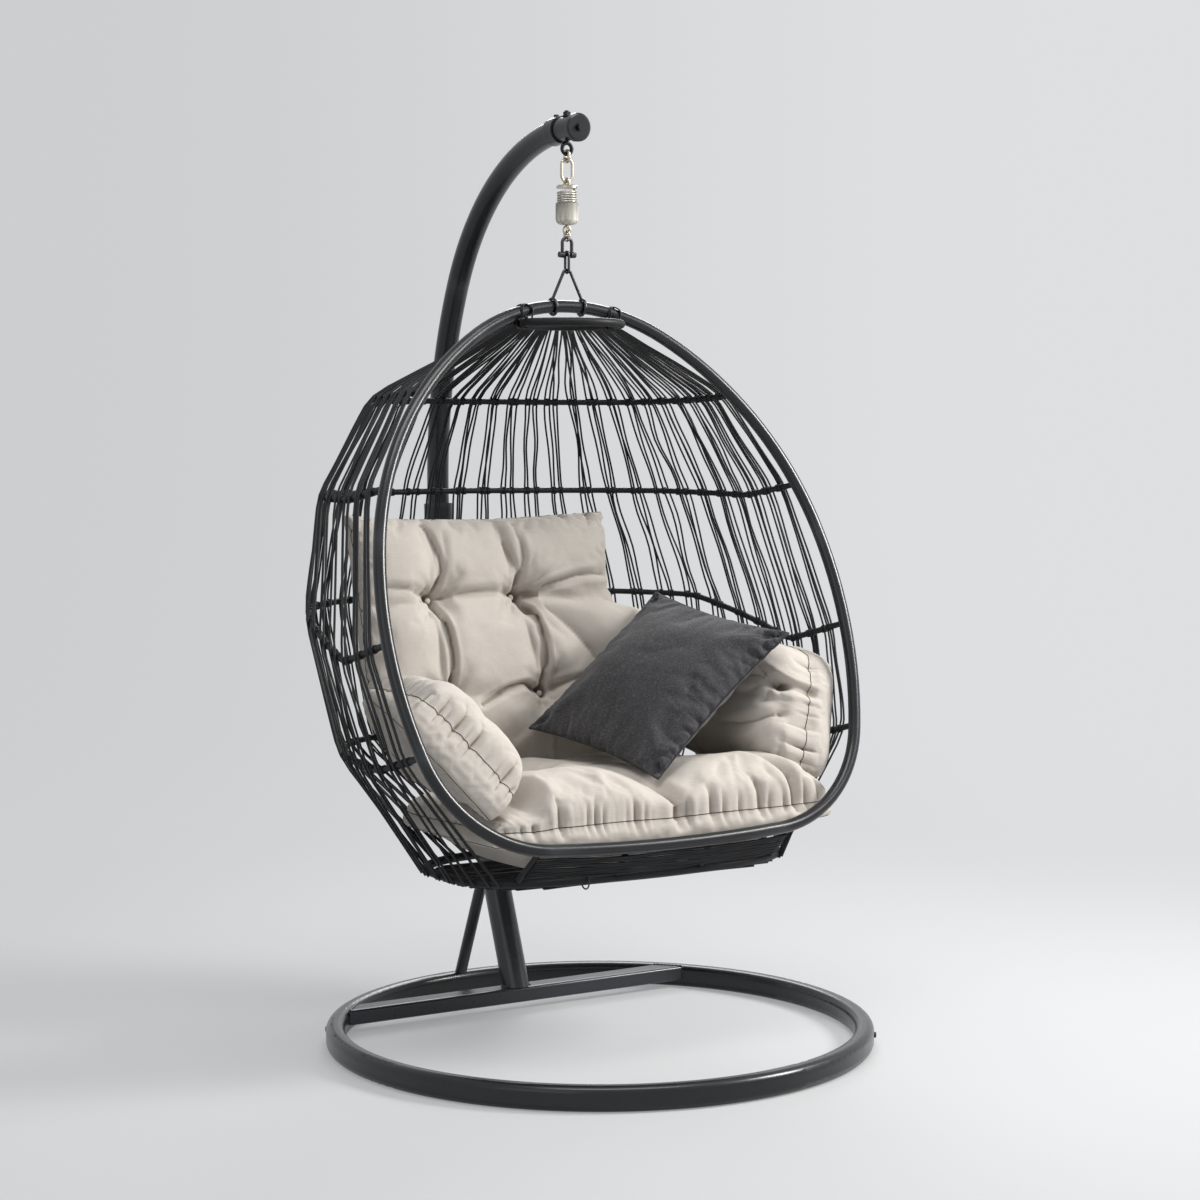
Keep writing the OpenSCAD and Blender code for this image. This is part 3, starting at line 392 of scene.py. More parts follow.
hoopC = hoopCentres()
lastTurn = math.radians(basket["hoopTurns"][4])
hoopLow = hoopC[3] + basket["hoopArcs"][3][0] * np.array([math.sin(lastTurn), math.cos(lastTurn)])
floorR = hoopLow[0] / math.sin(math.pi - lastTurn)
floorC = hoopLow[1] + floorR * math.cos(math.pi - lastTurn)


def hoopHalf(v):
    arcs, turns = basket["hoopArcs"], basket["hoopTurns"]
    for i in range(4):
        low = hoopC[i][1] + arcs[i][0] * math.cos(math.radians(turns[i + 1]))
        if i == 3 or v > low:
            return hoopC[i][0] + math.sqrt(arcs[i][0] ** 2 - (v - hoopC[i][1]) ** 2)


def onHoop(x, v):
    t = basket["hoopTilt"]
    return np.array([x, basket["hangY"] + v * math.sin(t), basket["hoopTop"] + v * math.cos(t)])


def squircle(a, b, n, p):
    return 1 / ((abs(math.cos(p)) / a) ** n + (abs(math.sin(p)) / b) ** n) ** (1 / n)


# Point on rod k in the direction p degrees
def rodPoint(k, p):
    v = (basket["rodHeights"][k][0] - basket["hoopTop"]) / math.cos(basket["hoopTilt"])
    front = basket["hangY"] + v * math.sin(basket["hoopTilt"])
    a = math.radians(p)
    r = squircle(hoopHalf(v), basket["rodBacks"][k] - front, basket["square"], a)
    z = np.interp(1 - abs(p - 90) / 90, basket["rodStop"], basket["rodHeights"][k])
    return np.array([r * math.cos(a), front + r * math.sin(a), z])


def bottomPoint(p):
    a = math.radians(p)
    r = squircle(basket["bottomA"], basket["bottomB"], 3, a)
    return np.array([r * math.cos(a), basket["bottomY"] + r * math.sin(a), basket["bottomZ"]])


# Rods and rings wound with cord
winding = {"pitch": 3.4, "ridge": 0.55, "step": 1.15, "sides": 12}


# A core wound tightly with cord: the winding shows as slanting ridges
def woundTube(path, radius, closed=False):
    ringsPerTurn = winding["pitch"] / winding["step"]

    def ripple(angle, ring):
        phase = ring / ringsPerTurn + angle / (2 * math.pi)
        return winding["ridge"] * (np.abs(np.sin(math.pi * phase)) - 0.75)

    return sweepTube(path, radius, winding["sides"], closed, ripple)


def firstAngle(k):
    v = (basket["rodHeights"][k][0] - basket["hoopTop"]) / math.cos(basket["hoopTilt"])
    return math.degrees(math.atan((basket["hoopR"] + 2) / hoopHalf(v)))


for k in range(4):
    first = firstAngle(k)
    curve = [rodPoint(k, p) for p in np.linspace(first, 180 - first, 181)]
    path = resampled(rounded(curve, 3), winding["step"])
    fitted(f"rod_winding_{k + 1}", [woundTube(path, basket["rodR"] - 0.2)],
           "wrapped_rod", "basket", f"rod_{k + 1}")

topY = basket["hangY"] - 10
count = int(2 * math.pi * basket["topRingR"] / winding["step"])
count -= count % 3
angles = np.linspace(0, 2 * math.pi, count, endpoint=False)
ringPath = np.stack([basket["topRingR"] * np.cos(angles), topY + basket["topRingR"] * np.sin(angles),
                     np.full(count, basket["topRingZ"])], -1)
fitted("top_ring_winding", [woundTube(ringPath, basket["ringR"] - 0.2, True)],
       "wrapped_rod", "basket", "top_ring")

# Crossed lashings where the hoop lies on the top ring
lashing = {"across": 103.9, "back": 5.0, "wire": 1.35, "turns": (-2.7, 0.0, 2.7), "gap": 0.3}


def lashingLoop(side, turn, shift):
    centre = np.array([side * lashing["across"], basket["hangY"] - lashing["back"], basket["topRingZ"]])
    bend = basket["hoopArcs"][0][0]
    drop = bend - math.sqrt(bend ** 2 - lashing["across"] ** 2)
    rise = basket["hoopTop"] - drop * math.cos(basket["hoopTilt"]) - basket["topRingZ"]
    off = lashing["wire"] + lashing["gap"]
    widen = 1 / math.cos(math.radians(45))
    along = np.array([math.cos(turn), math.sin(turn), 0])
    beside = np.array([-math.sin(turn), math.cos(turn), 0])
    points = []
    for a in np.linspace(0, 2 * math.pi, 44, endpoint=False):
        r = basket["hoopR"] if math.sin(a) > 0 else basket["ringR"]
        wide, tall = r * widen + off, r + off
        lift = rise if math.sin(a) > 0 else 0
        points.append(centre + along * wide * math.cos(a) + beside * shift
                      + np.array([0, 0, lift + tall * math.sin(a)]))
    return sweepTube(points, lashing["wire"], 6, True)


loops = [lashingLoop(side, math.radians(turn), shift)
         for side in (-1, 1) for turn in (45, 135) for shift in lashing["turns"]]
fitted("top_ring_lashings", loops, "wicker", "basket", "top_ring_ties")

loop = [bottomPoint(p) for p in np.linspace(0, 360, 721)]
path = resampled(loop, winding["step"])[:-1]
fitted("bottom_ring_winding", [woundTube(path, basket["ringR"] - 0.2, True)],
       "wrapped_rod", "basket", "bottom_ring")
print("wound rods and rings done")

# Wicker strands
wicker = {"radius": 2.1, "gap": 4.0, "tilt": (64, 43, 13, -5, -22, -32),
          "clear": (0.6, 1.6, 1.4, 1.2, 1.4, 0.8), "core": (9.0, 6.5, 6.5, 6.5, 6.5, 9.0),
          "wobble": 2.3, "sideCount": 20, "backCount": 20, "first": 5.5, "sideEnd": 60.0,
          "pair": 0.19, "wander": 0.1}


def strandPoint(level, p):
    off = wicker["core"][level] + 2.2 + wicker["clear"][level]
    tilt = math.radians(wicker["tilt"][level])
    if level == 0:
        q = 90 + (p - 90) * 75 / 85
        a = math.radians(q)
        base = np.array([basket["topRingR"] * math.cos(a), topY + basket["topRingR"] * math.sin(a),
                         basket["topRingZ"]])
    elif level == 5:
        q = 90 + (p - 90) * 115 / 85
        base = bottomPoint(q)
    else:
        q = p
        base = rodPoint(level - 1, p)
    a = math.radians(q)
    return base + off * np.array([math.cos(tilt) * math.cos(a), math.cos(tilt) * math.sin(a),
                                  math.sin(tilt)])


# A cord is laid evenly on the top ring; on the rods it leans towards a neighbour and wanders
def strandShift(level, i):
    if level == 0:
        return 0.0
    lean = wicker["pair"] if i % 2 == 0 else -wicker["pair"]
    return lean + wicker["wander"] * math.sin(math.radians(137 * i + 71 * level))


# Two cords side by side from ring to ring: nearly straight between rods, with a lazy wobble
def strandPair(turns, noise):
    levels = [strandPoint(level, p) for level, p in enumerate(turns)]
    points, across = [levels[0]], []
    for i in range(5):
        a, b = levels[i], levels[i + 1]
        p = math.radians(turns[i])
        around = np.array([-math.sin(p), math.cos(p), 0])
        across += [around] * (9 if i else 10)
        length = np.linalg.norm(b - a)
        bend = noise.normal(0, wicker["wobble"] * min(1.0, length / 200), 3)
        for f in np.linspace(0, 1, 10)[1:]:
            sway = (bend[0] * math.sin(math.pi * f) + bend[1] * math.sin(2 * math.pi * f)
                    + 0.6 * bend[2] * math.sin(3 * math.pi * f))
            points.append(a + (b - a) * f + sway * around)
    along = np.linspace(0, 2 * math.pi, len(points))
    phase, beats = noise.uniform(0, 6.28), noise.uniform(1.5, 3.5)
    gap = wicker["gap"] * (1 + 0.42 * np.sin(beats * along + phase))
    beside = gap[:, None] * np.array(across)
    return [rounded(np.array(points) + hand * beside, 1) for hand in (-1, 1)]


panelStep = (wicker["sideEnd"] - wicker["first"]) / wicker["sideCount"]
panels = {"right": (wicker["first"], wicker["sideEnd"] - panelStep, wicker["sideCount"]),
          "left": (180 - wicker["first"], 180 - wicker["sideEnd"] + panelStep, wicker["sideCount"]),
          "back": (wicker["sideEnd"], 180 - wicker["sideEnd"], wicker["backCount"])}
knots = []
for word, (start, end, count) in panels.items():
    parts = []
    step = (end - start) / (count - 1)
    for i in range(count):
        turns = [start + step * (i + strandShift(level, i)) for level in range(6)]
        parts += [sweepTube(path, wicker["radius"], 7) for path in strandPair(turns, cordNoise)]
        for level in range(1, 5):                # the cord takes turns round each rod
            here = rodPoint(level - 1, turns[level])
            ahead = rodPoint(level - 1, turns[level] + 0.4) - rodPoint(level - 1, turns[level] - 0.4)
            knots.append(cordTurns(here, ahead, basket["rodR"] + 0.8, 1.4,
                                   cordNoise.uniform(2.0, 3.6), cordNoise.uniform(0, 6.28)))
    fitted("cords_" + word, parts, "wicker", "basket", "strands_" + word)
fitted("cord_knots", knots, "wicker", "basket")

# Rows of cord across the floor and over the front, laid in pairs
floorRows = {"count": 19, "front": -188.0, "rear": 134.0, "z": basket["bottomZ"] - 11.6, "apart": 2.6}
frontRows = {"count": 7, "stubs": (-285, -95, 95, 285), "out": 8.7, "apart": 0.017}
parts = []
for i in range(floorRows["count"]):
    y = floorRows["front"] + (floorRows["rear"] - floorRows["front"]) * i / (floorRows["count"] - 1)
    y += 3 * math.sin(math.radians(137 * i))
    reach = abs(y - basket["bottomY"]) / basket["bottomB"]
    half = basket["bottomA"] * (1 - reach ** 3) ** (1 / 3) - 7
    x = np.linspace(-half, half, 24)
    bend = cordNoise.normal(0, 2.0, 3)
    sway = sum(bend[m] * np.sin((m + 1) * math.pi * (x + half) / (2 * half)) for m in range(3))
    for hand in (-1, 1):
        line = np.stack([x, y + sway + hand * floorRows["apart"], np.full(24, floorRows["z"])], -1)
        parts.append(sweepTube(line, wicker["radius"], 7))


def stubHigh(x):
    if abs(x) > hoopLow[0]:
        r = basket["hoopArcs"][3][0]
        return onHoop(x, hoopC[3][1] - math.sqrt(r ** 2 - (abs(x) - hoopC[3][0]) ** 2))
    return onHoop(x, floorC - math.sqrt(floorR ** 2 - x * x))


def stubLow(x):
    x = x * 1.03
    y = basket["bottomY"] - basket["bottomB"] * (1 - (abs(x) / basket["bottomA"]) ** 3) ** (1 / 3)
    return np.array([x, y, basket["bottomZ"]])


for row in range(1, frontRows["count"] + 1):
    f = 0.12 + 0.6 * row / frontRows["count"]
    for hand in (-1, 1):
        near = f + hand * frontRows["apart"]
        corners = [stubHigh(x) * (1 - near) + stubLow(x) * near
                   + frontRows["out"] * np.array([0, -0.82, -0.57]) for x in frontRows["stubs"]]
        line = rounded(resampled(corners, 14), 2)
        line[:, 2] += 1.6 * np.sin(line[:, 0] / 60 + row * 1.7 + hand)
        parts.append(sweepTube(line, wicker["radius"], 7))
fitted("cords_floor", parts, "wicker", "basket", "strands_floor")
print("strands done")

# Coil spring
spring = {"outer": 41.0, "wire": 4.0, "turns": 11, "top": 1715.98, "bottom": 1647.98}
coilR = (spring["outer"] - spring["wire"]) / 2
low, high = spring["bottom"] + spring["wire"] + 4.4, spring["top"] - spring["wire"] - 2.4
t = np.linspace(0, 1, spring["turns"] * 28 + 1)
a = 2 * math.pi * spring["turns"] * t
coil = np.stack([coilR * np.cos(a), basket["hangY"] + coilR * np.sin(a), low + (high - low) * t], -1)
hookLow = [[coilR, basket["hangY"] - 2.4, spring["bottom"] + 3.2],
           [coilR, basket["hangY"] - 2.4, low - 1.4]]
hookHigh = [coil[-1] + [0, 2.4, 1.4], coil[-1] + [0, 2.4, spring["top"] - high - 0.4]]
piece = joined("coil_wire", [sweepTube(np.vstack([hookLow, coil, hookHigh]), spring["wire"] / 2, 12)],
               finishes["spring_wire"])
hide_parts("coil_spring")
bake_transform(piece)
print("spring done")


# Weld beads on the stand
def weldBead(points, radius):
    path = resampled(rounded(points, 1), 1.5)
    beat = 0.22 * radius * np.sin(np.arange(len(path)) * 1.1)
    return sweepTube(path, radius + beat, 8)


weld = {"foot": (29.6, 340.0, 31.6, 48.6), "bar": (311.0, 359.0), "ring": 512, "top": 48.3}
wide, mid, long, z = weld["foot"]
t = np.linspace(math.radians(150), math.radians(390), 60)
rim = np.stack([wide * np.cos(t), mid - long * np.sin(t), np.full(60, z)], -1)
rim = rim[np.abs(rim[:, 1] - 335) < 24.5]        # the bead stays on the crossbar
beads = [weldBead(rim, 2.2)]
for side in (-1, 1):
    ys = np.linspace(*weld["bar"], 12)
    xs = side * (np.sqrt(weld["ring"] ** 2 - ys ** 2) - 0.2)
    beads.append(weldBead(np.stack([xs, ys, np.full(12, weld["top"])], -1), 1.8))
    for y in (weld["bar"][0] - 1, weld["bar"][1] + 1):
        x = side * (math.sqrt(weld["ring"] ** 2 - y * y) - 0.2)
        beads.append(weldBead([[x, y, 46], [x, y, 34], [x, y, 20]], 1.6))
fitted("weld_beads", beads, "black_steel", "stand")

# Back cushion: its face is drawn in at four stitched points
backPad = {"x": -65.0, "half": 308.0, "tall": 278.0, "mid": (381.0, 781.0), "lean": math.radians(10.5),
           "crown": 74.0, "tuft": 46.0, "edge": 8.0, "bow": 0.00045,
           "tufts": ((-200, 90), (2, 90), (-200, -116), (48, -116))}


# 1 over most of a pad's face, falling to 0 at its sewn rim
def fullness(u, v, power):
    return ((1 - u ** 4) * (1 - v ** 4)) ** power


def backPoint(u, v, side):
    pad = backPad
    wide = np.where(u > 0, 120 * u / (1 + np.exp((v - 0.21) * 22)), 0)
    low = np.maximum(0, -v - 0.3) / 0.7
    narrow = 1 - np.where(u > 0, 0.14, 0.27) * low * low
    x = (pad["x"] + pad["half"] * u * (1 - 0.04 * (1 - v * v)) + wide) * narrow
    s = pad["tall"] * v * (1 - 0.05 * (1 - u * u))
    near = np.max([dimple(np.hypot(x - a, s - b), 40) for a, b in pad["tufts"]], axis=0)
    seams = np.maximum(dimple(x + 200, 24), dimple(x - 24 + s * 0.22, 24))
    rows = np.maximum(dimple(s - 90, 24), dimple(s + 116, 24))
    dip = pad["tuft"] * np.maximum(near, np.maximum(0.42 * seams, 0.28 * rows))
    full = fullness(u, v, 0.42)
    crown = pad["crown"] * (1 - 0.35 * low * low) - dip
    d = np.where(side > 0, pad["edge"] + crown * full, -pad["edge"] - 34 * full)
    bow = pad["bow"] + 0.0005 * low
    y = pad["mid"][0] + s * math.sin(pad["lean"]) - bow * (x - pad["x"]) ** 2
    return np.stack([x, y - d * math.cos(pad["lean"]),
                     pad["mid"][1] + s * math.cos(pad["lean"]) + d * math.sin(pad["lean"])], -1)


def backFlat(points):
    lean = backPad["lean"]
    y, z = points[:, 1] - backPad["mid"][0], points[:, 2] - backPad["mid"][1]
    return points[:, 0], y * math.sin(lean) + z * math.cos(lean)


# Seat cushion: a boxed front with three puffs, a valley behind it, and a belly on the floor cords
seatPad = {"w": 385.0, "l": 256.0, "crown": 104.0, "mid": (4.0, 34.0, 459.0), "valley": 26.0,
           "tufts": ((-130, 42), (150, 42)), "pull": 26.0, "dent": (30, -178), "sag": 78.0,
           "strip": 15.0}


def seatPoint(u, v, side):
    pad = seatPad
    wing = np.where(v > 0, -0.32 * v ** 4, np.where(u > 0, 0.13 * v ** 6, 0.09 * v))
    x = pad["w"] * u * (1 - 0.05 * (1 - v * v)) * (1 + wing)
    y = pad["l"] * v * (1 - 0.04 * (1 - u * u)) + np.where(v > 0, -80 * u * u, 40 * u ** 6) * v * v
    near = np.max([dimple(np.hypot(x - a, y - b), 45) for a, b in pad["tufts"]], axis=0)
    puffs = np.where(v < 0, np.cos(1.5 * math.pi * (u - 0.1)) ** 2, 0)
    channel = dimple(x - 38, 16) * np.where(v < 0, 1, np.exp(-np.maximum(v, 0) * 8))
    sides = np.where(u > 0, 8, 30) * (1 - dimple(v + 1, 0.4)) * (1 - dimple(np.abs(u) - 0.55, 0.2))
    valley = pad["valley"] * (1 - dimple(v + 1, 0.55)) + np.where(np.abs(u) > 0.55, sides, 0)
    dx, dy = pad["dent"]
    dent = 40 * dimple(np.hypot(x - dx, y - dy), 75) + 14 * dimple(x - dx, 70)
    corner = 71 / (1 + np.exp((u + 0.7) * 40))
    dip = np.max([valley + pad["pull"] * near, 30 * channel, 15 * puffs, valley + dent, corner], axis=0)
    full = ((1 - np.where(v > 0, u ** 4, u ** 10)) * (1 - v ** 6)) ** 0.36
    inside = np.maximum(0, 1 - (x / 300) ** 2) * np.maximum(0, 1 - ((y + 54) / 200) ** 2)
    under = -pad["strip"] - pad["sag"] * np.sqrt(inside)
    lobe = 20 * dimple(u - 0.86, 0.26) * dimple(v + 0.8, 0.4)
    d = np.where(side > 0, pad["strip"] + (pad["crown"] + lobe - dip) * full, under)
    return np.stack([x + pad["mid"][0], y + pad["mid"][1], d + pad["mid"][2]], -1)


def seatFlat(points):
    return points[:, 0] - seatPad["mid"][0], points[:, 1] - seatPad["mid"][1]


# Arm cushions: they follow the hoop's lean, and the left one has slid down and inwards
armPad = {"back": 44.0, "rim": 8.0,
          "left": {"hand": -1, "mid": (388.0, 628.0), "lean": math.radians(40), "tall": 132.0,
                   "deep": 125.0, "centre": 145.0, "crown": 82.0, "corner": 0.10, "strip": 54.0,
                   "curl": 0.0},
          "right": {"hand": 1, "mid": (422.0, 652.0), "lean": math.radians(20), "tall": 138.0,
                    "deep": 190.0, "centre": 210.0, "crown": 100.0, "corner": 0.16, "strip": 46.0,
                    "curl": 48.0, "stitch": (-170, 38)}}


def armPoint(arm, u, v, side):
    hand, lean = arm["hand"], arm["lean"]
    s = arm["tall"] * v * (1 - 0.05 * (1 - u * u)) * (1 - arm["corner"] * u ** 4)
    z = arm["mid"][1] + s * math.cos(lean)
    front = basket["hangY"] - (basket["hoopTop"] - z) * math.tan(basket["hoopTilt"])
    a = arm["centre"] - arm["deep"] * u * hand * (1 - 0.05 * (1 - v * v)) * (1 - arm["corner"] * v ** 4)
    fold = 9 * dimple(s, 14) * (0.4 if hand < 0 else 1)
    full = fullness(u, v, 0.38)
    outer = -arm["strip"] * (0.5 + 0.5 * u * hand) - armPad["rim"]
    d = np.where(side > 0, armPad["rim"] + (arm["crown"] - fold) * full,
                 np.minimum(outer, -armPad["rim"] - armPad["back"] * full))
    curl = arm["curl"] * np.clip((a - 190) / 200, 0, 1) ** 2     # its rear end turns in with the basket
    return np.stack([hand * (arm["mid"][0] + s * math.sin(lean) - d * math.cos(lean) - curl),
                     front + a, z + d * math.sin(lean)], -1)


def armFlat(arm, points):
    x, z = arm["hand"] * points[:, 0] - arm["mid"][0], points[:, 2] - arm["mid"][1]
    front = basket["hangY"] - (basket["hoopTop"] - points[:, 2]) * math.tan(basket["hoopTilt"])
    return points[:, 1] - front - arm["centre"], x * math.sin(arm["lean"]) + z * math.cos(arm["lean"])


pillow = {"l": 420.0, "w": 416.0, "crown": 62.0, "mid": (176.0, 60.0, 713.0),
          "along": (0.755, 0.0, 0.656), "across": (-0.135, 0.978, 0.155), "edge": 2.0}
pillowNormal = np.cross(pillow["along"], pillow["across"])


def pillowPoint(u, v, side):
    x = pillow["l"] / 2 * u * (1 - 0.07 * (1 - v * v))
    y = pillow["w"] / 2 * v * (1 - 0.07 * (1 - u * u))
    full = ((1 - u ** 2) * (1 - v ** 2)) ** 0.62
    d = np.where(side > 0, 1, -1) * (pillow["edge"] + pillow["crown"] * full)
    return (np.array(pillow["mid"]) + x[..., None] * np.array(pillow["along"])
            + y[..., None] * np.array(pillow["across"]) + d[..., None] * pillowNormal)


def pillowFlat(points):
    out = points - np.array(pillow["mid"])
    return out @ np.array(pillow["along"]), out @ np.array(pillow["across"])


# A closed pad: two faces and a border strip between their sewn rims, which bulges a little
def padMesh(name, place, nu, nv, border, material, bulge=0.0):
    u = 0.6 * np.sin(np.linspace(-math.pi / 2, math.pi / 2, nu + 1)) + 0.4 * np.linspace(-1, 1, nu + 1)
    v = 0.6 * np.sin(np.linspace(-math.pi / 2, math.pi / 2, nv + 1)) + 0.4 * np.linspace(-1, 1, nv + 1)
    gridU, gridV = np.meshgrid(u, v, indexing="ij")
    top, bottom = place(gridU, gridV, 1).reshape(-1, 3), place(gridU, gridV, -1).reshape(-1, 3)
    m = nv + 1
    total = (nu + 1) * m
    verts = [top, bottom]
    kept = {"u": [gridU.ravel()] * 2, "v": [gridV.ravel()] * 2,
            "side": [np.ones(total), -np.ones(total)]}
    rim = ([i * m for i in range(nu + 1)] + [nu * m + j for j in range(1, m)]
           + [i * m + nv for i in range(nu - 1, -1, -1)] + [j for j in range(nv - 1, 0, -1)])
    i, j = np.meshgrid(np.arange(nu), np.arange(nv), indexing="ij")
    a = (i * m + j).ravel()
    quads = np.stack([a, a + m, a + m + 1, a + 1], -1)
    faces = quads.tolist() + (quads[:, ::-1] + total).tolist()
    rows = [np.array(rim)]
    base = 2 * total
    high, low = top[rim], bottom[rim]
    ahead = np.roll(high, -1, 0) - np.roll(high, 1, 0)
    outward = unit(np.cross(ahead, high - low))
    for r in range(1, border):
        f = r / border
        verts.append(high * (1 - f) + low * f + outward * bulge * math.sin(math.pi * f))
        kept["u"].append(gridU.ravel()[rim])
        kept["v"].append(gridV.ravel()[rim])
        kept["side"].append(np.full(len(rim), 1 - 2 * f))
        rows.append(np.arange(len(rim)) + base)
        base += len(rim)
    rows.append(np.array(rim) + total)
    for one, two in zip(rows[:-1], rows[1:]):
        for k in range(len(rim)):
            n = (k + 1) % len(rim)
            faces.append([one[n], one[k], two[k], two[n]])
    attributes = {"pad" + key.title(): np.concatenate(value) for key, value in kept.items()}
    return meshObject(name, np.vstack(verts) / 1000, faces, material, attributes)


def readVectors(mesh, key="co"):
    values = np.zeros(len(mesh.vertices) * 3)
    mesh.vertices.foreach_get(key, values)
    return values.reshape(-1, 3)


# A pad's points in mm, its normals, and where each point lies on the pattern
def padState(obj):
    mesh = obj.data
    pattern = []
    for key in ("padU", "padV", "padSide"):
        values = np.zeros(len(mesh.vertices), np.float32)
        mesh.attributes[key].data.foreach_get("value", values)
        pattern.append(values.astype(float))
    return readVectors(mesh) * 1000, readVectors(mesh, "normal"), *pattern


def writePoints(mesh, co):
    mesh.vertices.foreach_set("co", co.astype(np.float32).ravel())
    mesh.update()


stuffing = {"pressure": 4.0, "growth": -0.03, "frames": 14, "quality": 4, "mass": 0.25,
            "stretch": 18, "shear": 8, "bend": 0.4}


# The stuffing pushes the cloth out between the stitches that hold it, by cap mm at the most
def stuff(obj, pins, cap):
    before = readVectors(obj.data)
    group = obj.vertex_groups.new(name="stitched")
    for weight in (1.0, 0.6):
        chosen = np.nonzero(np.isclose(pins, weight))[0]
        group.add([int(i) for i in chosen], weight, "REPLACE")
    cloth = obj.modifiers.new("stuffing", "CLOTH")
    settings = cloth.settings
    settings.quality = stuffing["quality"]
    settings.mass = stuffing["mass"]
    settings.tension_stiffness = settings.compression_stiffness = stuffing["stretch"]
    settings.shear_stiffness = stuffing["shear"]
    settings.bending_stiffness = stuffing["bend"]
    settings.use_pressure = True
    settings.uniform_pressure_force = stuffing["pressure"]
    settings.shrink_min = stuffing["growth"]
    settings.vertex_group_mass = "stitched"
    settings.pin_stiffness = 1.0
    settings.effector_weights.gravity = 0
    cloth.collision_settings.use_collision = False
    cloth.point_cache.frame_start = 1
    cloth.point_cache.frame_end = stuffing["frames"]
    for f in range(1, stuffing["frames"] + 1):
        bpy.context.scene.frame_set(f)
    depsgraph = bpy.context.evaluated_depsgraph_get()
    after = readVectors(obj.evaluated_get(depsgraph).data)
    obj.modifiers.clear()
    obj.vertex_groups.clear()
    bpy.context.scene.frame_set(1)
    move = after - before
    length = np.linalg.norm(move, axis=1)
    cap = cap / 1000
    held = cap * np.tanh(length / cap)           # a soft cap, so the cloth has no step where it acts
    writePoints(obj.data, before + move * (held / np.maximum(length, 1e-9))[:, None])


def subdivided(obj):
    modifier = obj.modifiers.new("smooth", "SUBSURF")
    modifier.levels = modifier.render_levels = 1
    depsgraph = bpy.context.evaluated_depsgraph_get()
    mesh = bpy.data.meshes.new_from_object(obj.evaluated_get(depsgraph))
    obj.modifiers.clear()
    old = obj.data
    obj.data = mesh
    bpy.data.meshes.remove(old)
    mesh.name = obj.name


# How deep a fold's profile is at a distance from its line: sharp in the middle, swelling beside it
def foldProfile(d, width):
    return np.exp(-d / width) - 0.2 * dimple(d - 2.3 * width, 1.1 * width)


# Folds over the face: (points, width, depth at the start, depth at the end)
def foldDepth(x, y, folds):
    depth = np.zeros(len(x))
    for points, width, first, last in folds:
        points = rounded(resampled([(*p, 0) for p in points], 9.0), 3)[:, :2]
        d = np.hypot(x[:, None] - points[:, 0], y[:, None] - points[:, 1])
        near = np.argmin(d, axis=1)
        share = near / max(1, len(points) - 1)
        a, b = points[np.maximum(near - 1, 0)], points[np.minimum(near + 1, len(points) - 1)]
        along = unit(b - a)
        off = np.stack([x, y], -1) - points[near]
        beside = np.abs(off[:, 0] * along[:, 1] - off[:, 1] * along[:, 0])
        inside = (near > 0) & (near < len(points) - 1)
        far = np.min(d, axis=1)
        far = np.where(inside, np.minimum(far, beside), far)
        depth += (first + (last - first) * share) * foldProfile(far, width)
    return depth


# Gathers run in from a sewn rim: (rim, place -1 to 1, length, width, depth, drift)
def gatherDepth(u, v, halfU, halfV, gathers):
    depth = np.zeros(len(u))
    for rim, place, length, width, deep, drift in gathers:
        if rim in ("front", "rear"):
            along, inward = (u - place) * halfU, (1 + v if rim == "front" else 1 - v) * halfV
        else:
            along, inward = (v - place) * halfV, (1 + u if rim == "low" else 1 - u) * halfU
        share = np.clip(inward / length, 0, 1)
        beside = np.abs(along - drift * share ** 1.4)
        depth += deep * (1 - share) ** 1.3 * foldProfile(beside, width * (1 + 0.6 * share))
    return depth


# Uneven small gathers between the large ones
def manyGathers(rim, start, end, step, length, width, deep, noise):
    made, place = [], start
    while place < end:
        made.append((rim, place, length * noise.uniform(0.35, 1.25), width * noise.uniform(0.7, 1.3),
                     deep * noise.uniform(0.25, 1.2), noise.normal(0, 10)))
        place += step * noise.uniform(0.45, 1.6)
    return made


# Rows of small gathers: (rim, start, end, step, length, width, depth)
def gatherRows(noise, *rows):
    return [each for row in rows for each in manyGathers(*row, noise)]


# Small folds that run out from a stitched point
def tuftRays(x, y, reach, width, deep, count, noise):
    rays = []
    for a in np.linspace(0, 2 * math.pi, count, endpoint=False) + noise.uniform(0, 1):
        a += noise.normal(0, 0.2)
        r = reach * noise.uniform(0.5, 1.25)
        ends = [(x + k * math.cos(a), y + k * math.sin(a)) for k in (5, r)]
        rays.append((ends, width * noise.uniform(0.7, 1.2), deep * noise.uniform(0.5, 1.2), 0.0))
    return rays


def smoothNoise(points, scale, seed):
    out = np.zeros(len(points))
    noise = np.random.default_rng(seed)
    for _ in range(7):
        direction = unit(noise.normal(size=3))
        phase = noise.uniform(0, 6.28)
        out += np.sin(points @ direction * (2 * math.pi / scale) * noise.uniform(0.7, 1.4) + phase)
    return out / 7


# Folds, gathers and a slow waviness, pressed into the cloth along its normals
def dressPad(obj, flat, folds, gathers, half, seed, wavy=2.0, seam=2.0):
    co, normals, u, v, side = padState(obj)
    x, y = flat(co)
    shown = np.clip(side * 1.4 + 0.1, 0, 1)
    depth = foldDepth(x, y, folds) * np.clip(side, 0, 1)
    depth += gatherDepth(u, v, *half, gathers) * np.where(side > 0.99, 1, 0.55 * shown)
    rim = np.minimum((1 - np.abs(u)) * half[0], (1 - np.abs(v)) * half[1])
    depth += seam * np.exp(-rim / 3.0) * np.exp(-(1 - np.abs(side)) * 5)
    depth -= wavy * smoothNoise(co, 150, seed) + 0.35 * wavy * smoothNoise(co, 48, seed + 1)
    writePoints(obj.data, (co - normals * depth[:, None]) / 1000)


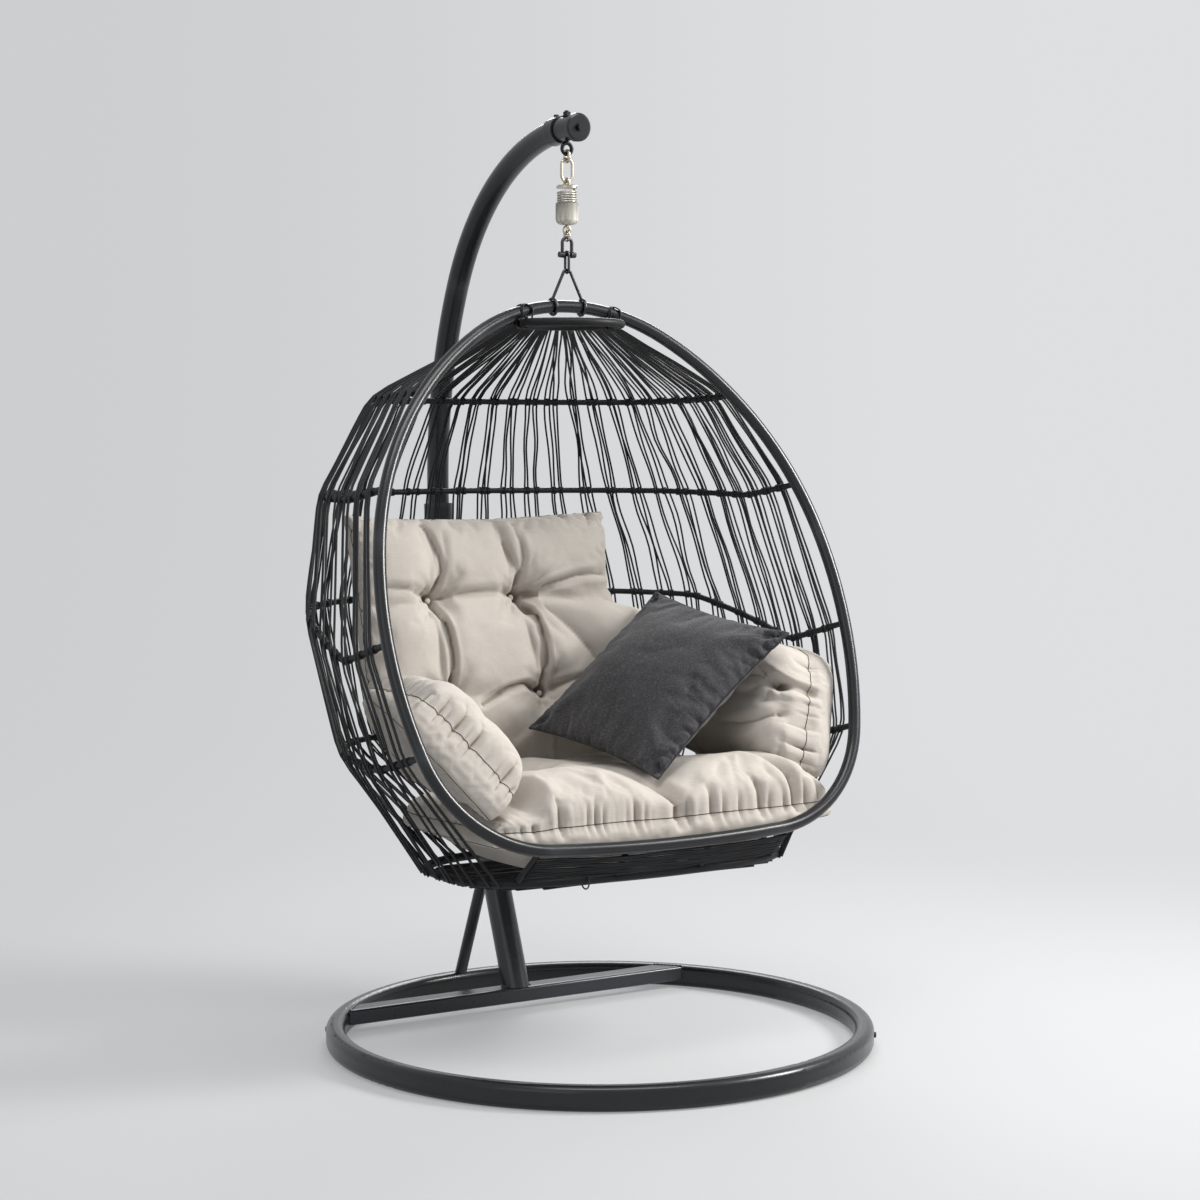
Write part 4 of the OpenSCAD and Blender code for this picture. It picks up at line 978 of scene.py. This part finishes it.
# The thread that shows along a sewn rim
def rimThread(obj, side, radius, lift=0.5):
    co, normals, u, v, edge = padState(obj)
    index = np.nonzero((np.abs(edge - side) < 1e-3) & (np.maximum(np.abs(u), np.abs(v)) > 0.9995))[0]
    index = index[np.argsort(np.arctan2(v[index], u[index]))]
    path = co[index] + normals[index] * lift
    return sweepTube(resampled(np.vstack([path, path[:1]]), 3.0)[:-1], radius, 6, True)


# Where the stitches hold the cloth: 1 fully, 0.6 close by
def pinWeights(obj, flat, tufts, rim):
    co, _, u, v, side = padState(obj)
    x, y = flat(co)
    pins = np.zeros(len(co))
    edge = np.minimum(1 - np.abs(u), 1 - np.abs(v))
    pins[edge < rim] = 0.6
    pins[np.abs(side) < 0.99] = 0.6
    pins[(edge < rim * 0.4) & (np.abs(side) > 0.99)] = 1.0
    for a, b in tufts:
        d = np.hypot(x - a, y - b)
        pins[(d < 18) & (side > 0)] = 0.6
        pins[(d < 12) & (side > 0)] = 1.0
    return pins


# A stuffed pad, ready to be dressed: simulated between its stitches, then smoothed
def stuffedPad(name, place, flat, grid, slot, cap, rim, bulge=0.0, tufts=()):
    obj = padMesh(name, place, *grid, finishes[slot], bulge)
    stuff(obj, pinWeights(obj, flat, tufts, rim), cap)
    subdivided(obj)
    return obj


def finishPad(obj, node, slot, body, threads):
    settle(obj, slot, body, node)
    fitted(obj.name.replace("_cloth", "") + "_seam", threads, slot, body, material=seamThreads[slot])


foldNoise = np.random.default_rng(5)

obj = stuffedPad("back_cushion_cloth", backPoint, backFlat, (104, 84, 3), "beige_fabric", 14, 0.03,
                 tufts=backPad["tufts"])
backFolds = [
    (((-200, 90), (-183, 124), (-181, 174), (-201, 246)), 5, 14, 6),     # up from the left stitch
    (((-190, 110), (-171, 158), (-164, 226)), 6, 6, 3),
    (((-217, 118), (-209, 100)), 5, 2, 8),
    (((2, 90), (6, 140), (-16, 200)), 5, 10, 3),                         # up from the middle stitch
    (((5, 98), (17, 160), (14, 244)), 6, 13, 6),
    (((2, 88), (34, 40), (46, -12), (50, -62), (48, -116)), 5, 22, 30),  # the deep one to the lower stitch
    (((12, 78), (66, 20), (104, -14)), 8, 9, 1),
    (((12, 60), (52, 0), (76, -50)), 7, 7, 2),
    (((-200, 88), (-183, 34), (-175, -26), (-178, -110)), 5, 19, 22),
    (((48, -116), (2, -98), (-48, -106), (-110, -134)), 6, 18, 12),
    (((-200, 88), (-165, 94), (-90, 100), (-27, 100), (2, 90)), 8, 9, 7),
    (((2, 90), (76, 110), (136, 126), (216, 130)), 7, 14, 10),
    (((12, 86), (84, 102), (150, 114)), 7, 8, 2),
    (((2, 96), (66, 130), (100, 146)), 7, 8, 1),
    (((20, 92), (90, 88), (140, 70)), 8, 8, 2),
    (((-205, 94), (-252, 106), (-330, 114)), 8, 11, 6),
    (((53, -114), (104, -96), (150, -90)), 7, 14, 5),
    (((53, -124), (88, -136)), 7, 8, 1),
    (((56, 66), (116, 6), (166, -60), (190, -120)), 26, 16, 26)]
for tx, ty in backPad["tufts"]:
    backFolds += tuftRays(tx, ty, 46, 4.0, 5.0, 9, foldNoise)
backGathers = gatherRows(foldNoise, ("rear", -0.95, 0.95, 0.13, 18, 4, 4.0),
                         ("high", -0.9, 0.9, 0.12, 20, 4.5, 5.0), ("low", -0.9, 0.9, 0.12, 20, 4.5, 5.0))
backGathers += [("rear", 0.86, 46, 6, 10, -20), ("rear", 0.66, 30, 6, 7, 10), ("high", 0.28, 60, 7, 11, 12),
                ("high", 0.05, 40, 8, 9, -8), ("high", 0.9, 44, 6, 9, -14)]
dressPad(obj, backFlat, backFolds, backGathers, (backPad["half"], backPad["tall"]), 21)
finishPad(obj, "back_cushion", "beige_fabric", "basket", [rimThread(obj, 1, 0.7)])

obj = stuffedPad("seat_cushion_cloth", seatPoint, seatFlat, (124, 80, 6), "beige_fabric", 12, 0.03, 7.0,
                 seatPad["tufts"])
seatGathers = [
    ("front", -0.80, 12, 6, 9, 4), ("front", -0.63, 30, 8, 16, -14), ("front", -0.46, 9, 5, 8, 0),
    ("front", -0.41, 20, 6, 10, 6), ("front", -0.36, 8, 4, 7, 0), ("front", -0.15, 16, 6, 9, -6),
    ("front", -0.09, 8, 4, 6, 3), ("front", 0.115, 120, 10, 28, -26), ("front", 0.16, 18, 5, 11, 8),
    ("front", 0.29, 26, 7, 13, -12), ("front", 0.35, 9, 4, 7, 0), ("front", 0.44, 7, 4, 6, 0),
    ("front", 0.56, 34, 8, 17, -20), ("front", 0.61, 10, 5, 8, 3), ("front", 0.69, 8, 4, 6, 0),
    ("front", 0.775, 120, 10, 28, -22), ("front", 0.83, 18, 6, 13, 9), ("front", 0.93, 18, 6, 11, -10),
    ("high", -0.90, 40, 8, 15, 16), ("high", -0.72, 24, 7, 10, 6)]
seatGathers += gatherRows(foldNoise, ("front", -0.95, 0.95, 0.12, 7, 3.2, 4.0),
                          ("low", -0.95, 0.9, 0.2, 22, 5, 5.0), ("high", -0.5, 0.9, 0.2, 22, 5, 5.0),
                          ("rear", -0.9, 0.9, 0.13, 22, 5, 5.0))
seatFolds = [(((180, -120), (150, -60), (150, 42)), 8, 12, 16), (((-130, 42), (-150, -70)), 8, 14, 2),
             (((-130, 42), (150, 42)), 11, 10, 10), (((70, -110), (104, -60), (146, 36)), 7, 8, 12)]
for tx, ty in seatPad["tufts"]:
    seatFolds += tuftRays(tx, ty, 60, 5.0, 6.0, 9, foldNoise)
dressPad(obj, seatFlat, seatFolds, seatGathers, (seatPad["w"], seatPad["l"]), 31)
finishPad(obj, "seat_cushion", "beige_fabric", "basket",
          [rimThread(obj, 1, 0.7), rimThread(obj, -1, 0.7)])

for word in ("left", "right"):
    arm = armPad[word]
    flat = functools.partial(armFlat, arm)
    obj = stuffedPad(f"arm_cushion_{word}_cloth", functools.partial(armPoint, arm), flat, (56, 60, 8),
                     "beige_fabric", 9, 0.04, 6.0)
    front, back = ("low", "high") if arm["hand"] < 0 else ("high", "low")
    gathers = gatherRows(foldNoise, (front, -0.9, 0.95, 0.24, 7, 3.6, 4.0),
                         (back, -0.9, 0.95, 0.22, 20, 5, 5), ("rear", -0.9, 0.9, 0.26, 18, 5, 5),
                         ("front", -0.9, 0.9, 0.26, 18, 5, 6))
    if word == "left":
        armFolds = [(((60, 30), (20, 44), (-30, 40)), 14, 6, 0)]
        gathers += [(front, 0.73, 12, 5, 9, 2), (front, 0.38, 34, 7, 15, 10), (front, 0.02, 26, 6, 13, 14),
                    (front, -0.70, 30, 7, 15, 4)]
    else:
        x, y = arm["stitch"]
        armFolds = [(((x, y), (x + 40, y + 8), (x + 92, y - 6)), 10, 17, 3),
                    (((x, y), (x + 60, y + 36)), 8, 13, 2), (((x, y), (x + 70, y - 34)), 8, 12, 2),
                    (((x, y), (x + 22, y - 30), (x + 30, y - 62)), 8, 9, 0),
                    (((-172, -22), (-140, -48), (-96, -62), (-20, -66)), 9, 14, 3)]
        armFolds += tuftRays(x, y, 40, 5.0, 7.0, 7, foldNoise)
        gathers += [(front, -0.30, 30, 8, 9, -10), (front, -0.66, 24, 7, 9, 8), (front, 0.80, 14, 6, 7, 3)]
    dressPad(obj, flat, armFolds, gathers, (arm["deep"], arm["tall"]), 41 + arm["hand"], 2.6)
    finishPad(obj, "bolster_" + word, "beige_fabric", "basket",
              [rimThread(obj, 1, 0.7), rimThread(obj, -1, 0.7)])

# Covered buttons, pulled deep into the back and the seat
button = {"r": 6.2, "dome": 3.2}


def buttonMesh(centre, facing):
    facing = unit(facing)
    one = unit(np.cross(facing, [0.9, 0.1, 0.3]))
    two = np.cross(facing, one)
    verts, faces = [], []
    profile = [(0.25, 1.0), (0.6, 0.86), (0.88, 0.5), (1.0, 0.0), (0.9, -0.6)]
    for r, h in profile:
        for k in range(20):
            a = 2 * math.pi * k / 20
            pleat = 1 + 0.05 * math.cos(5 * a)
            verts.append(centre + button["r"] * r * pleat * (math.cos(a) * one + math.sin(a) * two)
                         + button["dome"] * h * facing)
    for row in range(len(profile) - 1):
        for k in range(20):
            n = (k + 1) % 20
            faces.append([row * 20 + k, (row + 1) * 20 + k, (row + 1) * 20 + n, row * 20 + n])
    verts.append(centre + button["dome"] * 0.98 * facing)
    faces += [[len(verts) - 1, k, (k + 1) % 20] for k in range(20)]
    faces.append([4 * 20 + k for k in range(20)][::-1])
    return np.array(verts), faces


buttons = []
for x, s in backPad["tufts"]:
    lean = backPad["lean"]
    d = backPad["edge"] + backPad["crown"] - backPad["tuft"] - 2
    y = backPad["mid"][0] + s * math.sin(lean) - backPad["bow"] * (x - backPad["x"]) ** 2
    z = backPad["mid"][1] + s * math.cos(lean)
    spot = np.array([x, y - d * math.cos(lean), z + d * math.sin(lean)])
    buttons.append(buttonMesh(spot, (0, -math.cos(lean), math.sin(lean))))
for x, y in seatPad["tufts"]:
    lift = seatPad["strip"] + seatPad["crown"] - seatPad["valley"] - seatPad["pull"] - 4
    buttons.append(buttonMesh(np.array(seatPad["mid"]) + [x, y, lift], (0, 0, 1)))
fitted("covered_buttons", buttons, "beige_fabric", "basket", "tuft_buttons")

obj = stuffedPad("throw_pillow_cloth", pillowPoint, pillowFlat, (84, 84, 2), "grey_fabric", 8, 0.02)
pillowGathers = gatherRows(foldNoise, ("front", -0.92, 0.92, 0.11, 75, 5, 5.5),
                           ("high", -0.92, 0.92, 0.20, 40, 5, 3), ("rear", -0.92, 0.92, 0.18, 40, 5, 3),
                           ("low", -0.92, 0.92, 0.20, 40, 5, 3))
pillowFolds = []
for sx, sy in ((-1, -1), (1, -1), (1, 1), (-1, 1)):              # three creases from each corner
    for turn in (28, 45, 60):
        x, y = 85 * math.cos(math.radians(turn)), 85 * math.sin(math.radians(turn))
        pillowFolds.append((((sx * 194, sy * 192), (sx * (194 - x), sy * (192 - y))), 6, 5, 0))
pillowFolds += [(((-30, -150), (40, -120), (90, -128)), 12, 4, 1),
                (((60, -60), (10, 0), (20, 60)), 26, 3, 0),
                (((110, 150), (150, 100), (140, 40)), 16, 3, 0)]
dressPad(obj, pillowFlat, pillowFolds, pillowGathers, (pillow["l"] / 2, pillow["w"] / 2), 51, 1.6, 1.0)
finishPad(obj, "throw_pillow", "grey_fabric", "pillow", [rimThread(obj, 0, 1.3, 0.4)])
print("cushions done")

# Stage
shot = {"place": (-2.587, -4.140, 1.199), "tilt": 86.38, "turn": -32, "lens": 73.5, "sensor": 36}
# The left and right tones are the far glow's painted light falloff: darker on the left, lighter on the
# right
room = {"wall": 7.0, "bend": 2.4, "wide": 34.0, "front": -9.0, "high": 9.0,
        "paper": ((0.595, 0.600, 0.605), (0.615, 0.620, 0.625)), "rough": 0.75,
        "left": (0.610, 0.618, 0.628), "right": (0.735, 0.742, 0.758),
        "world": (0.672, 0.680, 0.693, 1), "sky": (0.95, 0.97, 1.0, 1)}


# The floor runs back and curves up into the wall, square to the camera
def backdropMesh():
    profile = [(room["front"], 0.0), (room["wall"] - room["bend"], 0.0)]
    for a in np.linspace(0, math.pi / 2, 24)[1:]:
        profile.append((room["wall"] - room["bend"] + room["bend"] * math.sin(a),
                        room["bend"] * (1 - math.cos(a))))
    profile.append((room["wall"], room["high"]))
    c, s = math.cos(math.radians(shot["turn"])), math.sin(math.radians(shot["turn"]))
    verts, faces = [], []
    for d, z in profile:
        for w in (-room["wide"] / 2, room["wide"] / 2):
            verts.append((w * c - d * s, w * s + d * c, z))
    for i in range(len(profile) - 1):
        faces.append([2 * i, 2 * i + 1, 2 * i + 3, 2 * i + 2])
    return verts, faces


# 1 where the camera, a gloss or a clear surface looks; 0 where light is gathered
def seenRay(tree):
    path = addNode(tree, "ShaderNodeLightPath")
    seen = path.outputs["Is Camera Ray"]
    for word in ("Is Glossy Ray", "Is Transmission Ray"):
        seen = mathNode(tree, "MAXIMUM", seen, path.outputs[word])
    return seen


# Pale paper: matt with the chair's shadow close by, softened by a share of painted glow, and a glowing tone
# further off, graded darker to the left and lighter to the right as painted light falloff
def studioPaper():
    material, tree, shader, coords = startMaterial("studio_paper")
    tree.links.new(mottled(tree, coords, 0.35, *room["paper"]), shader.inputs["Base Color"])
    shader.inputs["Roughness"].default_value = room["rough"]
    across = addNode(tree, "ShaderNodeVectorMath", {0: coords, 1: (0.848, -0.530, 0.0)},
                     operation="DOT_PRODUCT").outputs["Value"]
    flat = addNode(tree, "ShaderNodeVectorMath", {0: coords, 1: (1.0, 1.0, 0.0)}, operation="MULTIPLY")
    away = addNode(tree, "ShaderNodeVectorMath", {0: flat.outputs["Vector"]}, operation="LENGTH")
    # Painted light falloff: across the view the glow runs from the darker left tone to the lighter right
    # one
    sides = rangeOf(tree, across, 0.0, 1.0, -2.6, 2.2, interpolation_type="SMOOTHSTEP")
    # Close by, the glow still covers 0.42 of the paper, a painted lift that softens the chair's shadow
    far = rangeOf(tree, away.outputs["Value"], 0.42, 1.0, 0.9, 3.2, interpolation_type="SMOOTHSTEP")
    falloffGlow = addNode(tree, "ShaderNodeEmission",
                   {"Color": mixColors(tree, sides, room["left"], room["right"])})
    share = mathNode(tree, "MULTIPLY", seenRay(tree), far)
    both = addNode(tree, "ShaderNodeMixShader", {0: share, 1: shader.outputs[0], 2: falloffGlow.outputs[0]})
    tree.links.new(both.outputs[0], tree.nodes["Material Output"].inputs["Surface"])
    return material


# Soft light from above; pale where it is seen itself
def studioWorld():
    world = bpy.data.worlds.new("studio")
    bpy.context.scene.world = world
    world.use_nodes = True
    tree = world.node_tree
    sky = tree.nodes["Background"]
    sky.inputs["Color"].default_value = room["sky"]
    up = addNode(tree, "ShaderNodeSeparateXYZ",
                 {0: addNode(tree, "ShaderNodeTexCoord").outputs["Generated"]}).outputs["Z"]
    tree.links.new(rangeOf(tree, up, 0.07, 0.48, 0.05, 0.9), sky.inputs["Strength"])
    pale = addNode(tree, "ShaderNodeBackground", {"Color": room["world"], "Strength": 1.0})
    both = addNode(tree, "ShaderNodeMixShader", {0: seenRay(tree), 1: sky.outputs[0], 2: pale.outputs[0]})
    tree.links.new(both.outputs[0], tree.nodes["World Output"].inputs["Surface"])


meshObject("backdrop", *backdropMesh(), studioPaper())
studioWorld()

# Lamps: place, what it points at, size, watts and colour
lamps = {"key_light": ((3.0, -1.9, 2.9), (0, 0.0, 0.7), (1.1, 1.3), 185, (1.0, 0.985, 0.96)),
         "top_light": ((-0.4, -1.2, 3.9), (0, 0.1, 0.9), (2.8, 0.9), 52, (1.0, 0.99, 0.98)),
         "rim_light": ((1.8, 2.7, 2.9), (0, 0.1, 1.0), (1.4, 2.0), 60, (0.96, 0.98, 1.0)),
         "fill_light": ((-3.4, -2.2, 2.2), (0, 0.1, 0.8), (2.4, 2.4), 12, (0.94, 0.97, 1.0))}
for name, (place, target, size, watts, color) in lamps.items():
    data = bpy.data.lights.new(name, "AREA")
    data.energy = watts
    data.color = color
    data.shape = "RECTANGLE"
    data.size, data.size_y = size
    lamp = bpy.data.objects.new(name, data)
    lamp.location = place
    lamp.rotation_euler = (Vector(target) - Vector(place)).to_track_quat("-Z", "Y").to_euler()
    bpy.context.scene.collection.objects.link(lamp)

camera = bpy.data.cameras.new("camera")
camera.lens = shot["lens"]
camera.sensor_width = shot["sensor"]
view = bpy.data.objects.new("camera", camera)
view.location = shot["place"]
view.rotation_euler = (math.radians(shot["tilt"]), 0, math.radians(shot["turn"]))
bpy.context.scene.collection.objects.link(view)
bpy.context.scene.camera = view
bpy.context.scene.view_settings.view_transform = "Standard"
print("stage done")
